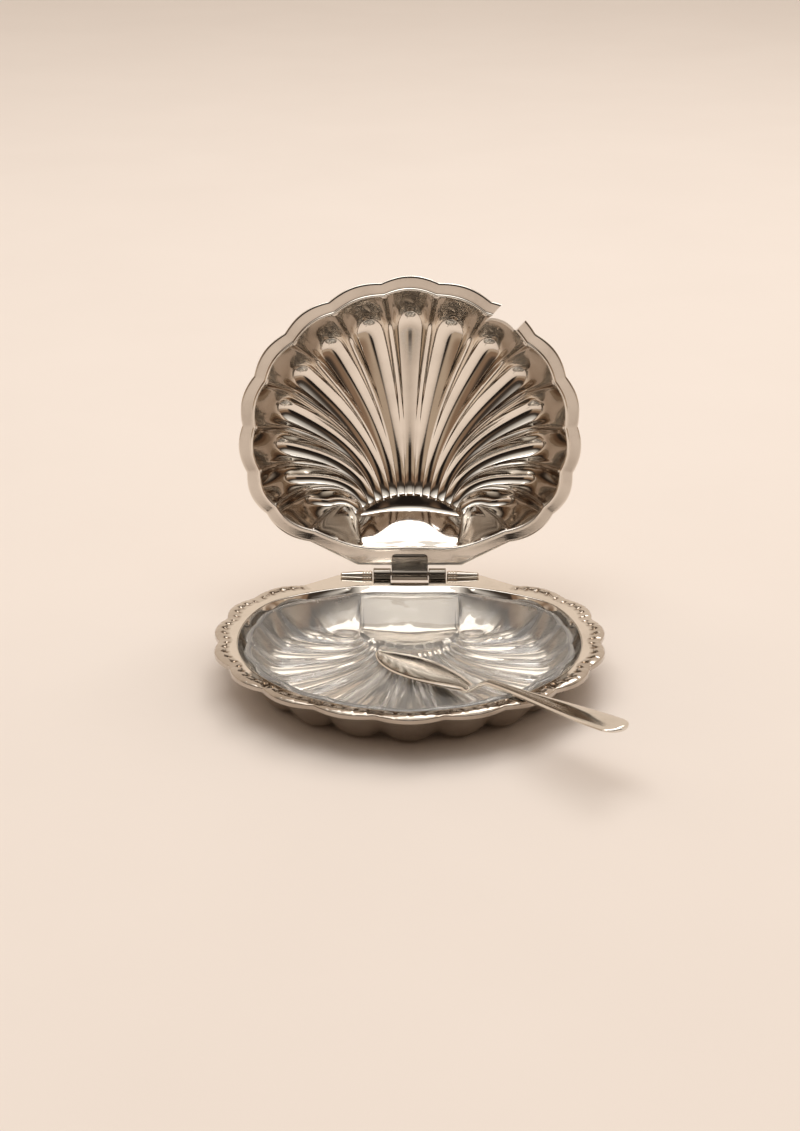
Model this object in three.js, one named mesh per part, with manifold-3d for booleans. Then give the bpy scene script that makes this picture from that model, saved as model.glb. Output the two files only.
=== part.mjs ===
// A scallop-shell butter dish: a flanged base, a pressed-glass liner standing loose in it, a lid on a
// knuckle hinge at the back, and a butter knife that lies in the liner and leaves through a notch in the
// lid's rim. The lid stands open. Millimetres, +Z up: the origin is on the flat under the base's middle
// rib, +Y points to the hinge and +X to the right as seen from the front.
import * as THREE from "three";
import { mergeVertices } from "three/addons/utils/BufferGeometryUtils.js";
import Module from "manifold-3d";

const wasm = await Module();
wasm.setup();
const { clamp, degToRad, lerp, smoothstep } = THREE.MathUtils;

// Plan of the shell. Distances along it are taken from the hinge axis towards the front.
const LIP_HALF_WIDTH = 59; // the lid's locating lip, on its centre line
const LIP_REACH = 109.4; // hinge axis to the front of the lip
const FOOT_REACH = 62; // hinge axis to the origin under the base
const HUB_REACH = 22; // hinge axis to the point that the flutes fan out from
const FLUTES = 15;
const FLUTE_SPREAD_DEG = 13; // angle that one flute takes at the hub
const PAD_HALF_WIDTH = 20; // the smooth half-moon pad at the hinge end of the fan
const FAN_LEAVE_DEG = 30; // how far the outermost flutes lean out as they leave the pad
const FAN_MEET = 0.5; // how far a flute turns towards square as it meets the rim
const SHOULDER_LEAST = 0.4; // least share of a flute that lies on the floor, before the wall
const RIDGE_SOFTNESS = 0.25; // rounding of the ridges between the channels
const FLUTE_GROWTH = 1.2; // how late a flute deepens on its way from the pad to the shoulder
const EDGE_CORNER = 0.38; // share of the plain stretch where the flange's edge turns straight
const PAD_MARGIN = 1.5; // strip between the pad and the rim at the hinge
const PAD_CORNER = 0.27; // share of the plain stretch at the hinge where the pad's sides meet its back

// Base
const RIM_HEIGHT = 17; // table to the top of the flange
const BASE_SHEET = 1.2;
const BASE_OPENING = 2; // the bowl's edge outside the lip's centre line, at the sides
const BASE_FRONT_EXTRA = 3.6; // how much further out it is at the front
const BASE_FLANGE = 10; // lip centre line to the valleys between the edge lobes
const BASE_LOBE = 2.2; // bulge of an edge lobe past its valleys
const BASE_EDGE_DROP = 2; // height of the turned-down edge
const BASE_EDGE_ROLL = 0.7; // thickness of the turned-down edge
const BASE_EDGE_ROUND = 0.5; // bevel along its top
const BASE_BACK = 1.9; // the straight back edge behind the hinge axis
const BASE_BACK_HALF = 28; // half the length of that straight edge
const BASE_WALL_FRONT = 12; // plan width of the bowl's wall at the front
const BASE_WALL_SIDE = 10; // and at the sides
const BASE_PAD_REACH = 36; // hinge axis to the pad's front edge, in the middle
const BASE_PAD_SIDE = 24; // hinge axis to the ends of the pad's front arc
const FOOT_FLAT = 0.5; // how far the ribs' crests are flattened where they stand on the table
const FLUTE_FLOOR = 0.35; // height of the flutes at the pad
const FLUTE_SHOULDER = 1.6; // and where the floor turns up into the wall
const FLUTE_RIM = 0.4; // and at the rim

// Glass liner
const LINER_GAP = 0.7; // liner to bowl, under the floor
const LINER_INSET = 2.6; // the bowl's edge to the outside of the glass rim
const LINER_WALL_EXTRA = 1.2; // how much wider in plan the glass wall is than the bowl's
const LINER_PAD_EXTRA = 0.8; // and its pad, on each side
const LINER_DROP = 1.05; // glass rim below the top of the flange
const GLASS_RIM = 2.4;
const GLASS_FLOOR = 4.6;
const GLASS_FLUTE_SHARE = 0.7; // flutes inside the glass against those under it

// Lid
const LID_SHEET = 0.8;
const SEAT_GAP = 0.3; // closed lid's flange over the base's flange
const LIP_HEIGHT = 1;
const LIP_HALF = 0.6; // half the width of the lip
const LIP_WAVE = 1.2; // how far the lip swings out at a channel and in at a ridge, together
const LID_FLANGE = 4.6; // lip centre line to the valleys between the edge lobes
const LID_LOBE = 1.5;
const LID_BACK = 3.7; // hinge axis to the straight back edge of the lid
const LID_BACK_HALF = 20;
const LID_SHOULDER = 18; // depth where the wall turns into the dome
const LID_CROWN = 2.4; // extra depth of the dome, most of it near the pad
const LID_PAD_DEPTH = 16.5;
const LID_PAD_STEP = 1.2; // step from the pad down to the fan
const LID_PAD_REACH = 28;
const LID_PAD_SIDE = 19.5;
const LID_WALL_FRONT = 14;
const LID_WALL_SIDE = 11;
const LID_FLUTE_FLOOR = 0.25;
const LID_FLUTE_SHOULDER = 2.3;
const LID_FLUTE_RIM = 1.1;
const LID_OPEN_DEG = 97;

// Hinge
const HINGE_RISE = 1.3; // axis over the top of the base's flange
const PIN_RADIUS = 0.8;
const PIN_CLEARANCE = 0.3;
const BORE_OVERRUN = 1; // how far the drill for the pin runs past a knuckle's ends
const KNUCKLE_RADIUS = 2.2;
const KNUCKLE_LENGTH = 6.7;
const KNUCKLE_GAP = 0.3; // between neighbouring knuckles
const LEAF_WIDTH = 14;
const LEAF_KNUCKLE_RADIUS = 2.6;
const LEAF_THICKNESS = 0.8;
const LEAF_REACH = 8; // hinge axis to the leaf's front edge
const LEAF_CLEARANCE = 0.4; // leaf to the sides and floor of its pocket in the base's flange
const SADDLE_SHEET = 1; // floor of that pocket
const TAB_THICKNESS = 0.8;
const TAB_REACH = 6.5; // hinge axis to the front edge of a knuckle's tab
const SOLDER_GAP = 0.3; // soldered faces
const BEAD_GAP = 0.4; // outer knuckle to the raised bead beside it
const BEAD_LENGTH = 12.5;
const BEAD_RADIUS = 1.7;
const BEAD_TIP_RADIUS = 0.9;

// Knife
const KNIFE_LENGTH = 122.5;
const KNIFE_TIP_X = -12.3;
const KNIFE_TIP_Y = 13;
const KNIFE_TURN_DEG = 42; // plan angle from straight ahead towards the right
const KNIFE_GAP = 0.4; // knife to the glass and to the base's flange
const BLADE_LENGTH = 48; // on the near side, where the neck starts
const BLADE_FAR_LENGTH = 55; // on the far side, whose edge is fuller
const BLADE_NEAR_WIDTH = 7.6; // middle line to the near edge
const BLADE_FAR_WIDTH = 9.6;
const BLADE_TIP = 1.2; // width of the blunt tip
const BLADE_THICKNESS = 1.2;
const BLADE_RISE = 2.6; // height gained from the tip to the end of the blade
const BLADE_LEAN = 0.85; // below 1 the blade is widest nearer its tip
const BLADE_FULLNESS = 0.75; // below 1 its sides are fuller
const BLADE_TAPER = 0.5; // share of the blade where its sides start to draw in to the neck
const NECK_WIDTH = 4.4;
const NECK_THICKNESS = 2.2;
const CREST_AT = 60; // tip to the crest where the neck's step up ends
const REST_AT = 74; // tip to where the neck lies over the edge of the base's flange
const HANDLE_WIDTH = 11.5;
const HANDLE_THICKNESS = 2;
const HANDLE_SPREAD = [0.2, 0.9]; // stretch behind the blade over which the handle widens
const HANDLE_END = 0.97; // how far the round end is drawn in
const HANDLE_RISE = 4.8; // height gained from there to the end
const NOTCH_START = 54; // knife's tip to the inner end of the notch's cut
const NOTCH_WIDTH = 10.6;
const NOTCH_HEIGHT = 4; // over the closed lid's flange face
const NOTCH_SHIFT = 2.6; // notch centre to the right of the knife's line

// Mesh fineness
const FLUTE_STEPS = 4;
const BACK_STEPS = 14;
const PAD_ROWS = [0.55, 1];
const FAN_ROWS = [0.1, 0.36, 0.68, 1];
const WALL_ROWS = [0.35, 0.7, 1];
const WALL_POWER = 1.7; // how late the wall steepens towards the rim
const LIP_SAMPLES = 1440;
const TUBE_SIDES = 16;
const KNIFE_STEPS = 26;
const KNIFE_SIDES = 10;

// Half of the lip's outline, from the front round to the hinge: shares of its half width and its reach.
const LIP_SHAPE = [
  [0, 1],
  [0.485, 0.927],
  [0.749, 0.822],
  [0.931, 0.685],
  [1, 0.528],
  [0.975, 0.374],
  [0.868, 0.243],
  [0.7, 0.18],
  [0.345, 0.107],
  [0, 0.103],
];

const fanAngle = degToRad(FLUTE_SPREAD_DEG);
const fanHalf = (FLUTES / 2) * fanAngle;
const backSpan = Math.PI - fanHalf;
const hinge = new THREE.Vector3(0, FOOT_REACH, RIM_HEIGHT + HINGE_RISE);

// The lip's right half as points in order of their angle round the hub.
function sampleLip() {
  const right = LIP_SHAPE.map(
    ([across, along]) => new THREE.Vector3(across * LIP_HALF_WIDTH, along * LIP_REACH, 0),
  );
  const left = right.slice(1, -1).reverse();
  const mirrored = left.map((p) => new THREE.Vector3(-p.x, p.y, 0));
  const curve = new THREE.CatmullRomCurve3([...right, ...mirrored], true);
  const points = curve.getPoints(LIP_SAMPLES).slice(0, LIP_SAMPLES / 2 + 1);
  return points.map((p) => ({ point: p, angle: Math.atan2(p.x, p.y - HUB_REACH) }));
}
const lipSamples = sampleLip();

function lipAt(angle) {
  const turned = Math.atan2(Math.sin(angle), Math.cos(angle));
  const size = Math.abs(turned);
  const next = Math.max(1, lipSamples.findIndex((s) => s.angle >= size - 1e-9));
  const [a, b] = [lipSamples[next - 1], lipSamples[next]];
  const share = (size - a.angle) / (b.angle - a.angle);
  const p = a.point.clone().lerp(b.point, share);
  return new THREE.Vector2(Math.sign(turned) * p.x, p.y);
}

function lipNormal(angle) {
  const step = 0.02;
  const along = lipAt(angle + step).sub(lipAt(angle - step)).normalize();
  return new THREE.Vector2(-along.y, along.x);
}

// Rounded channels between sharper ridges: 1 in a channel, below 0 on a ridge.
function rippleAt(flute) {
  const channel = Math.hypot(Math.cos(Math.PI * flute), RIDGE_SOFTNESS);
  return (2 * channel) / Math.hypot(1, RIDGE_SOFTNESS) - 1;
}

// One column for each angle round the hub: the flutes first, then the plain stretch at the hinge.
function makeColumns() {
  const columns = [];
  for (let i = 0; i < FLUTES * FLUTE_STEPS; i++) {
    const flute = i / FLUTE_STEPS - FLUTES / 2;
    columns.push({ angle: flute * fanAngle, flute, back: 0, side: Math.sign(flute) });
  }
  for (let i = 0; i < BACK_STEPS; i++) {
    const share = (2 * i) / BACK_STEPS;
    const side = share < 1 ? 1 : -1;
    const back = share < 1 ? share : 2 - share;
    columns.push({ angle: fanHalf + share * backSpan, flute: FLUTES / 2, back, side });
  }
  for (const c of columns) {
    c.lip = lipAt(c.angle);
    c.normal = lipNormal(c.angle);
    c.front = Math.max(0, Math.cos(c.angle)) ** 2;
    c.ripple = rippleAt(c.flute) * (1 - smoothstep(c.back, 0, PAD_CORNER));
    c.lobe = c.back > 0 ? 0 : Math.abs(Math.cos(Math.PI * c.flute));
    c.swing = (c.lobe - 1 / 2) * (1 - smoothstep(c.back, 0, PAD_CORNER));
  }
  return columns;
}
const columns = makeColumns();

const offsetLip = (c, out) => c.lip.clone().addScaledVector(c.normal, out);
const rimOf = (c, form) => offsetLip(c, form.edge + form.frontExtra * c.front + form.wave * c.swing);

// Edge of a form's pad: an arc in front, straight sides, and at the hinge a line beside the rim.
function padEdge(c, form) {
  const rise = form.padReach - form.padSide;
  const radius = (form.padHalf ** 2 + rise ** 2) / (2 * rise);
  const spread = Math.asin(form.padHalf / radius);
  if (c.back === 0) {
    const turn = (c.flute / (FLUTES / 2)) * spread;
    return new THREE.Vector2(radius * Math.sin(turn), form.padReach - radius + radius * Math.cos(turn));
  }
  if (c.back >= PAD_CORNER) return offsetLip(c, form.edge - PAD_MARGIN);
  const cornerAngle = c.side * (fanHalf + PAD_CORNER * backSpan);
  const inset = form.edge - PAD_MARGIN;
  const corner = lipAt(cornerAngle).addScaledVector(lipNormal(cornerAngle), inset);
  const arcEnd = new THREE.Vector2(c.side * form.padHalf, form.padSide);
  return arcEnd.lerp(corner, c.back / PAD_CORNER);
}

// Plan path of a column from the pad to the rim: it leaves the pad square to its arc and meets the rim
// square to that.
function fanPath(c, form) {
  const start = padEdge(c, form);
  const end = rimOf(c, form);
  const reach = end.distanceTo(start);
  const straight = end.clone().sub(start).normalize();
  const turn = (c.flute / (FLUTES / 2)) * degToRad(FAN_LEAVE_DEG);
  const leave = new THREE.Vector2(Math.sin(turn * (c.back > 0 ? c.side : 1)), Math.cos(turn));
  leave.lerp(straight, smoothstep(c.back, 0, PAD_CORNER)).normalize();
  const meet = c.normal.clone().lerp(straight, 1 - FAN_MEET).normalize();
  return new THREE.CubicBezierCurve(
    start,
    start.clone().addScaledVector(leave, reach / 3),
    end.clone().addScaledVector(meet, -reach / 3),
    end,
  );
}

// Depth of the pad below the rim: steep at the hinge and level at its front edge.
function padDepth(form, along) {
  const hingeEnd = lipAt(Math.PI).y - form.edge;
  const share = clamp((along - hingeEnd) / (form.padReach - hingeEnd), 0, 1);
  return lerp(form.rimDepth, form.padDepth, Math.sin((share * Math.PI) / 2));
}

function fluteHeight(form, share) {
  return lerp(form.fluteFloor, form.fluteShoulder, share ** FLUTE_GROWTH);
}

// A pressed surface as rings of points round the hub, from the pad outwards, before its flutes: across,
// along from the hinge axis, and depth from the rim's plane.
function plainRings(form) {
  const rings = [...PAD_ROWS, ...FAN_ROWS, ...WALL_ROWS].map(() => []);
  for (const c of columns) {
    const path = fanPath(c, form);
    const hub = new THREE.Vector2(0, HUB_REACH);
    const start = path.v0;
    const startDepth = padDepth(form, start.y);
    const reach = path.getLength();
    const width = lerp(form.wallSide, form.wallFront, Math.cos(c.angle) ** 2);
    const shoulder = Math.max(SHOULDER_LEAST, 1 - width / reach);
    const pad = smoothstep(c.back, 0, PAD_CORNER);
    const floor = (share) => form.floor(share) - (form.floor(0) - startDepth) * (1 - share) ** 2;
    let row = 0;
    const put = (plan, depth, lift) => {
      const point = new THREE.Vector3(plan.x, plan.y, depth);
      rings[row++].push({ point, lift });
    };
    for (const share of PAD_ROWS) {
      const plan = hub.clone().lerp(start, share);
      put(plan, padDepth(form, plan.y), 0);
    }
    for (const share of FAN_ROWS) {
      const t = share * shoulder;
      const depth = lerp(floor(share), lerp(startDepth, form.rimDepth, t), pad);
      put(path.getPoint(t), depth, c.ripple * fluteHeight(form, share));
    }
    for (const share of WALL_ROWS) {
      const t = lerp(shoulder, 1, share);
      const wall = lerp(floor(1), form.rimDepth, share ** WALL_POWER);
      const depth = lerp(wall, lerp(startDepth, form.rimDepth, t), pad);
      put(path.getPoint(t), depth, c.ripple * lerp(form.fluteShoulder, form.fluteRim, share));
    }
  }
  return rings;
}

// The surface's points with its flutes, moved outwards by a thickness.
function surfaceRings(form, thickness) {
  const rings = plainRings(form);
  const count = columns.length;
  const hub = new THREE.Vector3(0, HUB_REACH, padDepth(form, HUB_REACH));
  return rings.map((ring, r) =>
    ring.map(({ point, lift }, i) => {
      const inner = r > 0 ? rings[r - 1][i].point : hub;
      const outer = r + 1 < rings.length ? rings[r + 1][i].point : point;
      const around = ring[(i + 1) % count].point.clone().sub(ring[(i + count - 1) % count].point);
      const normal = around.cross(outer.clone().sub(inner)).normalize();
      return point.clone().addScaledVector(normal, lift + thickness);
    }),
  );
}

function hubPoint(form, thickness) {
  return new THREE.Vector3(0, HUB_REACH, padDepth(form, HUB_REACH) + thickness);
}

// A ring at a distance outside a form's edge and a depth from the rim's plane.
const planPoint = (plan, depth) => new THREE.Vector3(plan.x, plan.y, depth);
function ringAt(form, out, depth) {
  return columns.map((c) => planPoint(rimOf(c, form).addScaledVector(c.normal, out), depth));
}

// The flange's lobed outer edge, with its straight stretch at the hinge.
function edgeRing(flange, lobe, back, backHalf, inset, depth) {
  const lastValley = lipAt(fanHalf).addScaledVector(lipNormal(fanHalf), flange - inset);
  return columns.map((c) => {
    if (c.back === 0) return planPoint(offsetLip(c, flange + lobe * c.lobe - inset), depth);
    const end = new THREE.Vector2(c.side * (backHalf - inset), back + inset);
    if (c.back >= EDGE_CORNER) {
      end.x *= (1 - c.back) / (1 - EDGE_CORNER);
      return planPoint(end, depth);
    }
    const valley = new THREE.Vector2(c.side * lastValley.x, lastValley.y);
    return planPoint(valley.lerp(end, c.back / EDGE_CORNER), depth);
  });
}

// A closed body from one pole through rings to the other pole. `place` sets each point in space.
function ringBody(startPole, rings, endPole, place, flip) {
  const count = columns.length;
  const points = [startPole, ...rings.flat(), endPole].map(place);
  const last = points.length - 1;
  const index = [];
  const add = (a, b, c) => index.push(...(flip ? [a, c, b] : [a, b, c]));
  for (let i = 0; i < count; i++) {
    const j = (i + 1) % count;
    add(0, 1 + i, 1 + j);
    for (let r = 0; r + 1 < rings.length; r++) {
      const inner = 1 + r * count;
      const outer = inner + count;
      if (columns[i].side < 0) {
        add(inner + i, outer + i, outer + j);
        add(inner + i, outer + j, inner + j);
      } else {
        add(inner + i, outer + i, inner + j);
        add(outer + i, outer + j, inner + j);
      }
    }
    const end = last - count;
    add(end + i, last, end + j);
  }
  const geometry = new THREE.BufferGeometry().setFromPoints(points);
  return geometry.setIndex(index);
}

const inBase = (p) => new THREE.Vector3(p.x, FOOT_REACH - p.y, RIM_HEIGHT - p.z);
const inClosedLid = (p) => new THREE.Vector3(p.x, -p.y, p.z + SEAT_GAP - HINGE_RISE);

// Solids for joining and cutting.
function solidOf(geometry) {
  const bare = geometry.clone();
  bare.deleteAttribute("normal");
  bare.deleteAttribute("uv");
  const merged = mergeVertices(bare, 1e-4);
  const vertProperties = new Float32Array(merged.attributes.position.array);
  const triVerts = new Uint32Array(merged.index.array);
  return new wasm.Manifold(new wasm.Mesh({ numProp: 3, vertProperties, triVerts }));
}

function geometryOf(solid) {
  const { vertProperties, triVerts } = solid.getMesh();
  const geometry = new THREE.BufferGeometry();
  geometry.setAttribute("position", new THREE.BufferAttribute(vertProperties, 3));
  return geometry.setIndex(new THREE.BufferAttribute(triVerts, 1));
}

// A box between two corners.
function block(low, high) {
  const size = high.map((h, i) => h - low[i]);
  const middle = high.map((h, i) => (h + low[i]) / 2);
  return new THREE.BoxGeometry(...size).translate(...middle);
}

// A round bar along X, tapering from one radius to another.
function bar(start, length, startRadius, endRadius = startRadius) {
  const made = new THREE.CylinderGeometry(endRadius, startRadius, length, TUBE_SIDES);
  return made.rotateZ(-Math.PI / 2).translate(start + length / 2, 0, 0);
}

const baseFlutes = { fluteFloor: FLUTE_FLOOR, fluteShoulder: FLUTE_SHOULDER, fluteRim: FLUTE_RIM };
const baseFlute = (share) => fluteHeight(baseFlutes, share);
const ribDepth = RIM_HEIGHT - BASE_SHEET + FOOT_FLAT; // inside of a channel that stands on the table
const baseForm = {
  ...baseFlutes,
  edge: BASE_OPENING,
  frontExtra: BASE_FRONT_EXTRA,
  wave: 0,
  rimDepth: 0,
  padReach: BASE_PAD_REACH,
  padSide: BASE_PAD_SIDE,
  padHalf: PAD_HALF_WIDTH,
  wallFront: BASE_WALL_FRONT,
  wallSide: BASE_WALL_SIDE,
  floor: (share) => ribDepth - baseFlute(share),
  padDepth: ribDepth - FLUTE_FLOOR,
};

const knuckleStart = LEAF_WIDTH / 2 + KNUCKLE_GAP;
const knuckleEnd = knuckleStart + KNUCKLE_LENGTH;

function makeBaseShell() {
  const inside = surfaceRings(baseForm, 0);
  const outside = surfaceRings(baseForm, BASE_SHEET).slice(0, -1);
  const edge = (inset, depth) =>
    edgeRing(BASE_FLANGE, BASE_LOBE, -BASE_BACK, BASE_BACK_HALF, inset, depth);
  const rings = [
    ...inside,
    edge(BASE_EDGE_ROUND, 0),
    edge(0, BASE_EDGE_ROUND),
    edge(0, BASE_EDGE_DROP),
    edge(BASE_EDGE_ROLL, BASE_EDGE_DROP),
    edge(BASE_EDGE_ROLL, BASE_SHEET),
    ringAt(baseForm, BASE_SHEET, BASE_SHEET),
    ...outside.reverse(),
  ];
  const place = (p) => {
    const placed = inBase(p);
    placed.z = Math.max(placed.z, 0);
    return placed;
  };
  const poles = [hubPoint(baseForm, 0), hubPoint(baseForm, BASE_SHEET)];
  let shell = solidOf(ringBody(poles[0], rings, poles[1], place, false));
  // A saddle under the flange, then a slot at the back edge for the knuckles and, pressed into the saddle,
  // a pocket for the lid's leaf.
  const leafUnder = RIM_HEIGHT + SEAT_GAP - SOLDER_GAP - LEAF_THICKNESS;
  const pocketFloor = leafUnder - LEAF_CLEARANCE;
  const pocketHalf = LEAF_WIDTH / 2 + LEAF_CLEARANCE;
  const pocketFront = FOOT_REACH - LEAF_REACH - LEAF_CLEARANCE;
  const slotHalf = knuckleEnd + KNUCKLE_GAP;
  const slotFront = FOOT_REACH - LEAF_KNUCKLE_RADIUS - LEAF_CLEARANCE;
  const slotBack = FOOT_REACH + BASE_BACK + BASE_SHEET;
  const slotBottom = RIM_HEIGHT - BASE_EDGE_DROP - BASE_SHEET;
  const slotTop = RIM_HEIGHT + BASE_SHEET;
  const saddleHalf = LEAF_WIDTH / 2;
  const saddleUnder = pocketFloor - SADDLE_SHEET;
  const saddle = block(
    [-saddleHalf, pocketFront - BASE_SHEET, saddleUnder],
    [saddleHalf, slotFront, RIM_HEIGHT - BASE_SHEET / 2],
  );
  const slot = block([-slotHalf, slotFront, slotBottom], [slotHalf, slotBack, slotTop]);
  const pocket = block([-pocketHalf, pocketFront, pocketFloor], [pocketHalf, slotBack, slotTop]);
  shell = shell.add(solidOf(saddle)).subtract(solidOf(slot)).subtract(solidOf(pocket));
  for (const side of [-1, 1]) {
    const bead = bar(knuckleEnd + BEAD_GAP, BEAD_LENGTH, BEAD_RADIUS, BEAD_TIP_RADIUS);
    if (side < 0) bead.rotateZ(Math.PI);
    bead.translate(0, FOOT_REACH, RIM_HEIGHT + BEAD_RADIUS / 2);
    shell = shell.add(solidOf(bead));
  }
  return geometryOf(shell);
}

const glassDepth = ribDepth - LINER_GAP; // under a channel of the glass
const linerEdge = BASE_OPENING - LINER_INSET;
const linerUnderForm = {
  ...baseForm,
  edge: linerEdge,
  rimDepth: LINER_DROP + GLASS_RIM / 4,
  wallFront: BASE_WALL_FRONT + LINER_WALL_EXTRA,
  wallSide: BASE_WALL_SIDE + LINER_WALL_EXTRA,
  padHalf: PAD_HALF_WIDTH + LINER_PAD_EXTRA,
  floor: (share) => glassDepth - baseFlute(share),
  padDepth: glassDepth - FLUTE_FLOOR,
};
const linerInsideForm = {
  ...linerUnderForm,
  edge: linerEdge - GLASS_RIM,
  floor: (share) => glassDepth - GLASS_FLOOR - GLASS_FLUTE_SHARE * baseFlute(share),
  padDepth: glassDepth - GLASS_FLOOR - GLASS_FLUTE_SHARE * FLUTE_FLOOR,
  fluteFloor: GLASS_FLUTE_SHARE * FLUTE_FLOOR,
  fluteShoulder: GLASS_FLUTE_SHARE * FLUTE_SHOULDER,
};

function makeGlassLiner() {
  const inside = surfaceRings(linerInsideForm, 0);
  const under = surfaceRings(linerUnderForm, 0);
  const crown = ringAt(linerUnderForm, -GLASS_RIM / 2, LINER_DROP);
  const rings = [...inside, crown, ...under.reverse()];
  const poles = [hubPoint(linerInsideForm, 0), hubPoint(linerUnderForm, 0)];
  return ringBody(poles[0], rings, poles[1], inBase, false);
}

const lidCrown = (share) => LID_CROWN * Math.sin(Math.PI * Math.sqrt(share));
const lidForm = {
  edge: -LIP_HALF,
  frontExtra: 0,
  wave: LIP_WAVE,
  rimDepth: 0,
  padReach: LID_PAD_REACH,
  padSide: LID_PAD_SIDE,
  padHalf: PAD_HALF_WIDTH,
  wallFront: LID_WALL_FRONT,
  wallSide: LID_WALL_SIDE,
  floor: (share) => lerp(LID_PAD_DEPTH + LID_PAD_STEP, LID_SHOULDER, share) + lidCrown(share),
  padDepth: LID_PAD_DEPTH,
  fluteFloor: LID_FLUTE_FLOOR,
  fluteShoulder: LID_FLUTE_SHOULDER,
  fluteRim: LID_FLUTE_RIM,
};
const knifeDirection = new THREE.Vector3(
  Math.sin(degToRad(KNIFE_TURN_DEG)),
  -Math.cos(degToRad(KNIFE_TURN_DEG)),
  0,
);

function makeLidShell() {
  const inside = surfaceRings(lidForm, 0);
  const outside = surfaceRings(lidForm, LID_SHEET).slice(0, -1);
  const edge = (depth) => edgeRing(LID_FLANGE, LID_LOBE, LID_BACK, LID_BACK_HALF, 0, depth);
  const rings = [
    ...inside,
    ringAt(lidForm, 0, -LIP_HEIGHT / 2),
    ringAt(lidForm, LIP_HALF, -LIP_HEIGHT),
    ringAt(lidForm, 2 * LIP_HALF, -LIP_HEIGHT / 2),
    ringAt(lidForm, 2 * LIP_HALF, 0),
    edge(0),
    edge(LID_SHEET),
    ringAt(lidForm, LIP_HALF + LID_SHEET, LID_SHEET),
    ...outside.reverse(),
  ];
  const poles = [hubPoint(lidForm, 0), hubPoint(lidForm, LID_SHEET)];
  const shell = solidOf(ringBody(poles[0], rings, poles[1], inClosedLid, true));
  // Notch for the knife, cut along the knife's line through flange, lip and the foot of the wall.
  const flangeFace = SEAT_GAP - HINGE_RISE;
  const low = [NOTCH_START, -NOTCH_WIDTH / 2, flangeFace - 2 * LIP_HEIGHT];
  const high = [KNIFE_LENGTH, NOTCH_WIDTH / 2, flangeFace + NOTCH_HEIGHT];
  const notch = block(low, high).translate(0, NOTCH_SHIFT, 0);
  notch.rotateZ(Math.atan2(knifeDirection.y, knifeDirection.x));
  notch.translate(KNIFE_TIP_X, KNIFE_TIP_Y - FOOT_REACH, 0);
  return geometryOf(shell.subtract(solidOf(notch)));
}

// Knuckle along X round the hinge axis, bored for the pin.
function knuckle(start, length, radius) {
  const bore = bar(start - BORE_OVERRUN, length + 2 * BORE_OVERRUN, PIN_RADIUS + PIN_CLEARANCE);
  return solidOf(bar(start, length, radius)).subtract(solidOf(bore));
}

// The lid's leaf lies under its flange when closed, so it shows on the flange when the lid is open.
function makeLidHingeLeaf() {
  const top = SEAT_GAP - HINGE_RISE - SOLDER_GAP;
  const half = LEAF_WIDTH / 2;
  const start = PIN_RADIUS + PIN_CLEARANCE + (LEAF_KNUCKLE_RADIUS - PIN_RADIUS - PIN_CLEARANCE) / 2;
  const plate = block([-half, -LEAF_REACH, top - LEAF_THICKNESS], [half, -start, top]);
  return geometryOf(knuckle(-half, LEAF_WIDTH, LEAF_KNUCKLE_RADIUS).add(solidOf(plate)));
}

// A base knuckle with a web down through the slot and a tab under the flange.
function makeBaseKnuckle(side) {
  const start = side > 0 ? knuckleStart : -knuckleEnd;
  const tabTop = -HINGE_RISE - BASE_SHEET - SOLDER_GAP;
  const tabBottom = tabTop - TAB_THICKNESS;
  const tab = block([start, -TAB_REACH, tabBottom], [start + KNUCKLE_LENGTH, TAB_THICKNESS, tabTop]);
  const webTop = -(PIN_RADIUS + PIN_CLEARANCE + KNUCKLE_RADIUS) / 2;
  const web = block([start, -TAB_THICKNESS, tabBottom], [start + KNUCKLE_LENGTH, TAB_THICKNESS, webTop]);
  const made = knuckle(start, KNUCKLE_LENGTH, KNUCKLE_RADIUS).add(solidOf(web)).add(solidOf(tab));
  return geometryOf(made).translate(hinge.x, hinge.y, hinge.z);
}

function makeHingePin() {
  return bar(-knuckleEnd, 2 * knuckleEnd, PIN_RADIUS).translate(hinge.x, hinge.y, hinge.z);
}

// The knife: a leaf blade, a slim neck over the rim and a handle that widens to a round end.
const glassRidge = RIM_HEIGHT - glassDepth + GLASS_FLOOR + 2 * GLASS_FLUTE_SHARE * FLUTE_FLOOR;
const bladeHeight = glassRidge + KNIFE_GAP + BLADE_THICKNESS / 2;
const restHeight = RIM_HEIGHT + KNIFE_GAP + NECK_THICKNESS / 2;
const handleSlope = HANDLE_RISE / (KNIFE_LENGTH - REST_AT);

function knifeHeight(along) {
  const blade = bladeHeight + (BLADE_RISE * along) / BLADE_LENGTH;
  const shaft = restHeight + handleSlope * (along - REST_AT);
  return lerp(blade, shaft, smoothstep(along, BLADE_LENGTH, CREST_AT));
}

// Middle line to the edge, on the far side or the near one.
function knifeHalfWidth(along, far) {
  const neck = NECK_WIDTH / 2;
  const bladeLength = far ? BLADE_FAR_LENGTH : BLADE_LENGTH;
  const bladeWidth = far ? BLADE_FAR_WIDTH : BLADE_NEAR_WIDTH;
  if (along < bladeLength) {
    const share = along / bladeLength;
    const leaf = bladeWidth * Math.sin(Math.PI * share ** BLADE_LEAN) ** BLADE_FULLNESS;
    return Math.max(BLADE_TIP / 2, Math.hypot(leaf, neck * smoothstep(share, BLADE_TAPER, 1)));
  }
  const share = (along - bladeLength) / (KNIFE_LENGTH - bladeLength);
  const width = lerp(neck, HANDLE_WIDTH / 2, smoothstep(share, HANDLE_SPREAD[0], HANDLE_SPREAD[1]));
  const past = clamp(1 - (KNIFE_LENGTH - along) / (HANDLE_WIDTH / 2), 0, HANDLE_END);
  return width * Math.sqrt(1 - past ** 2);
}

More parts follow.
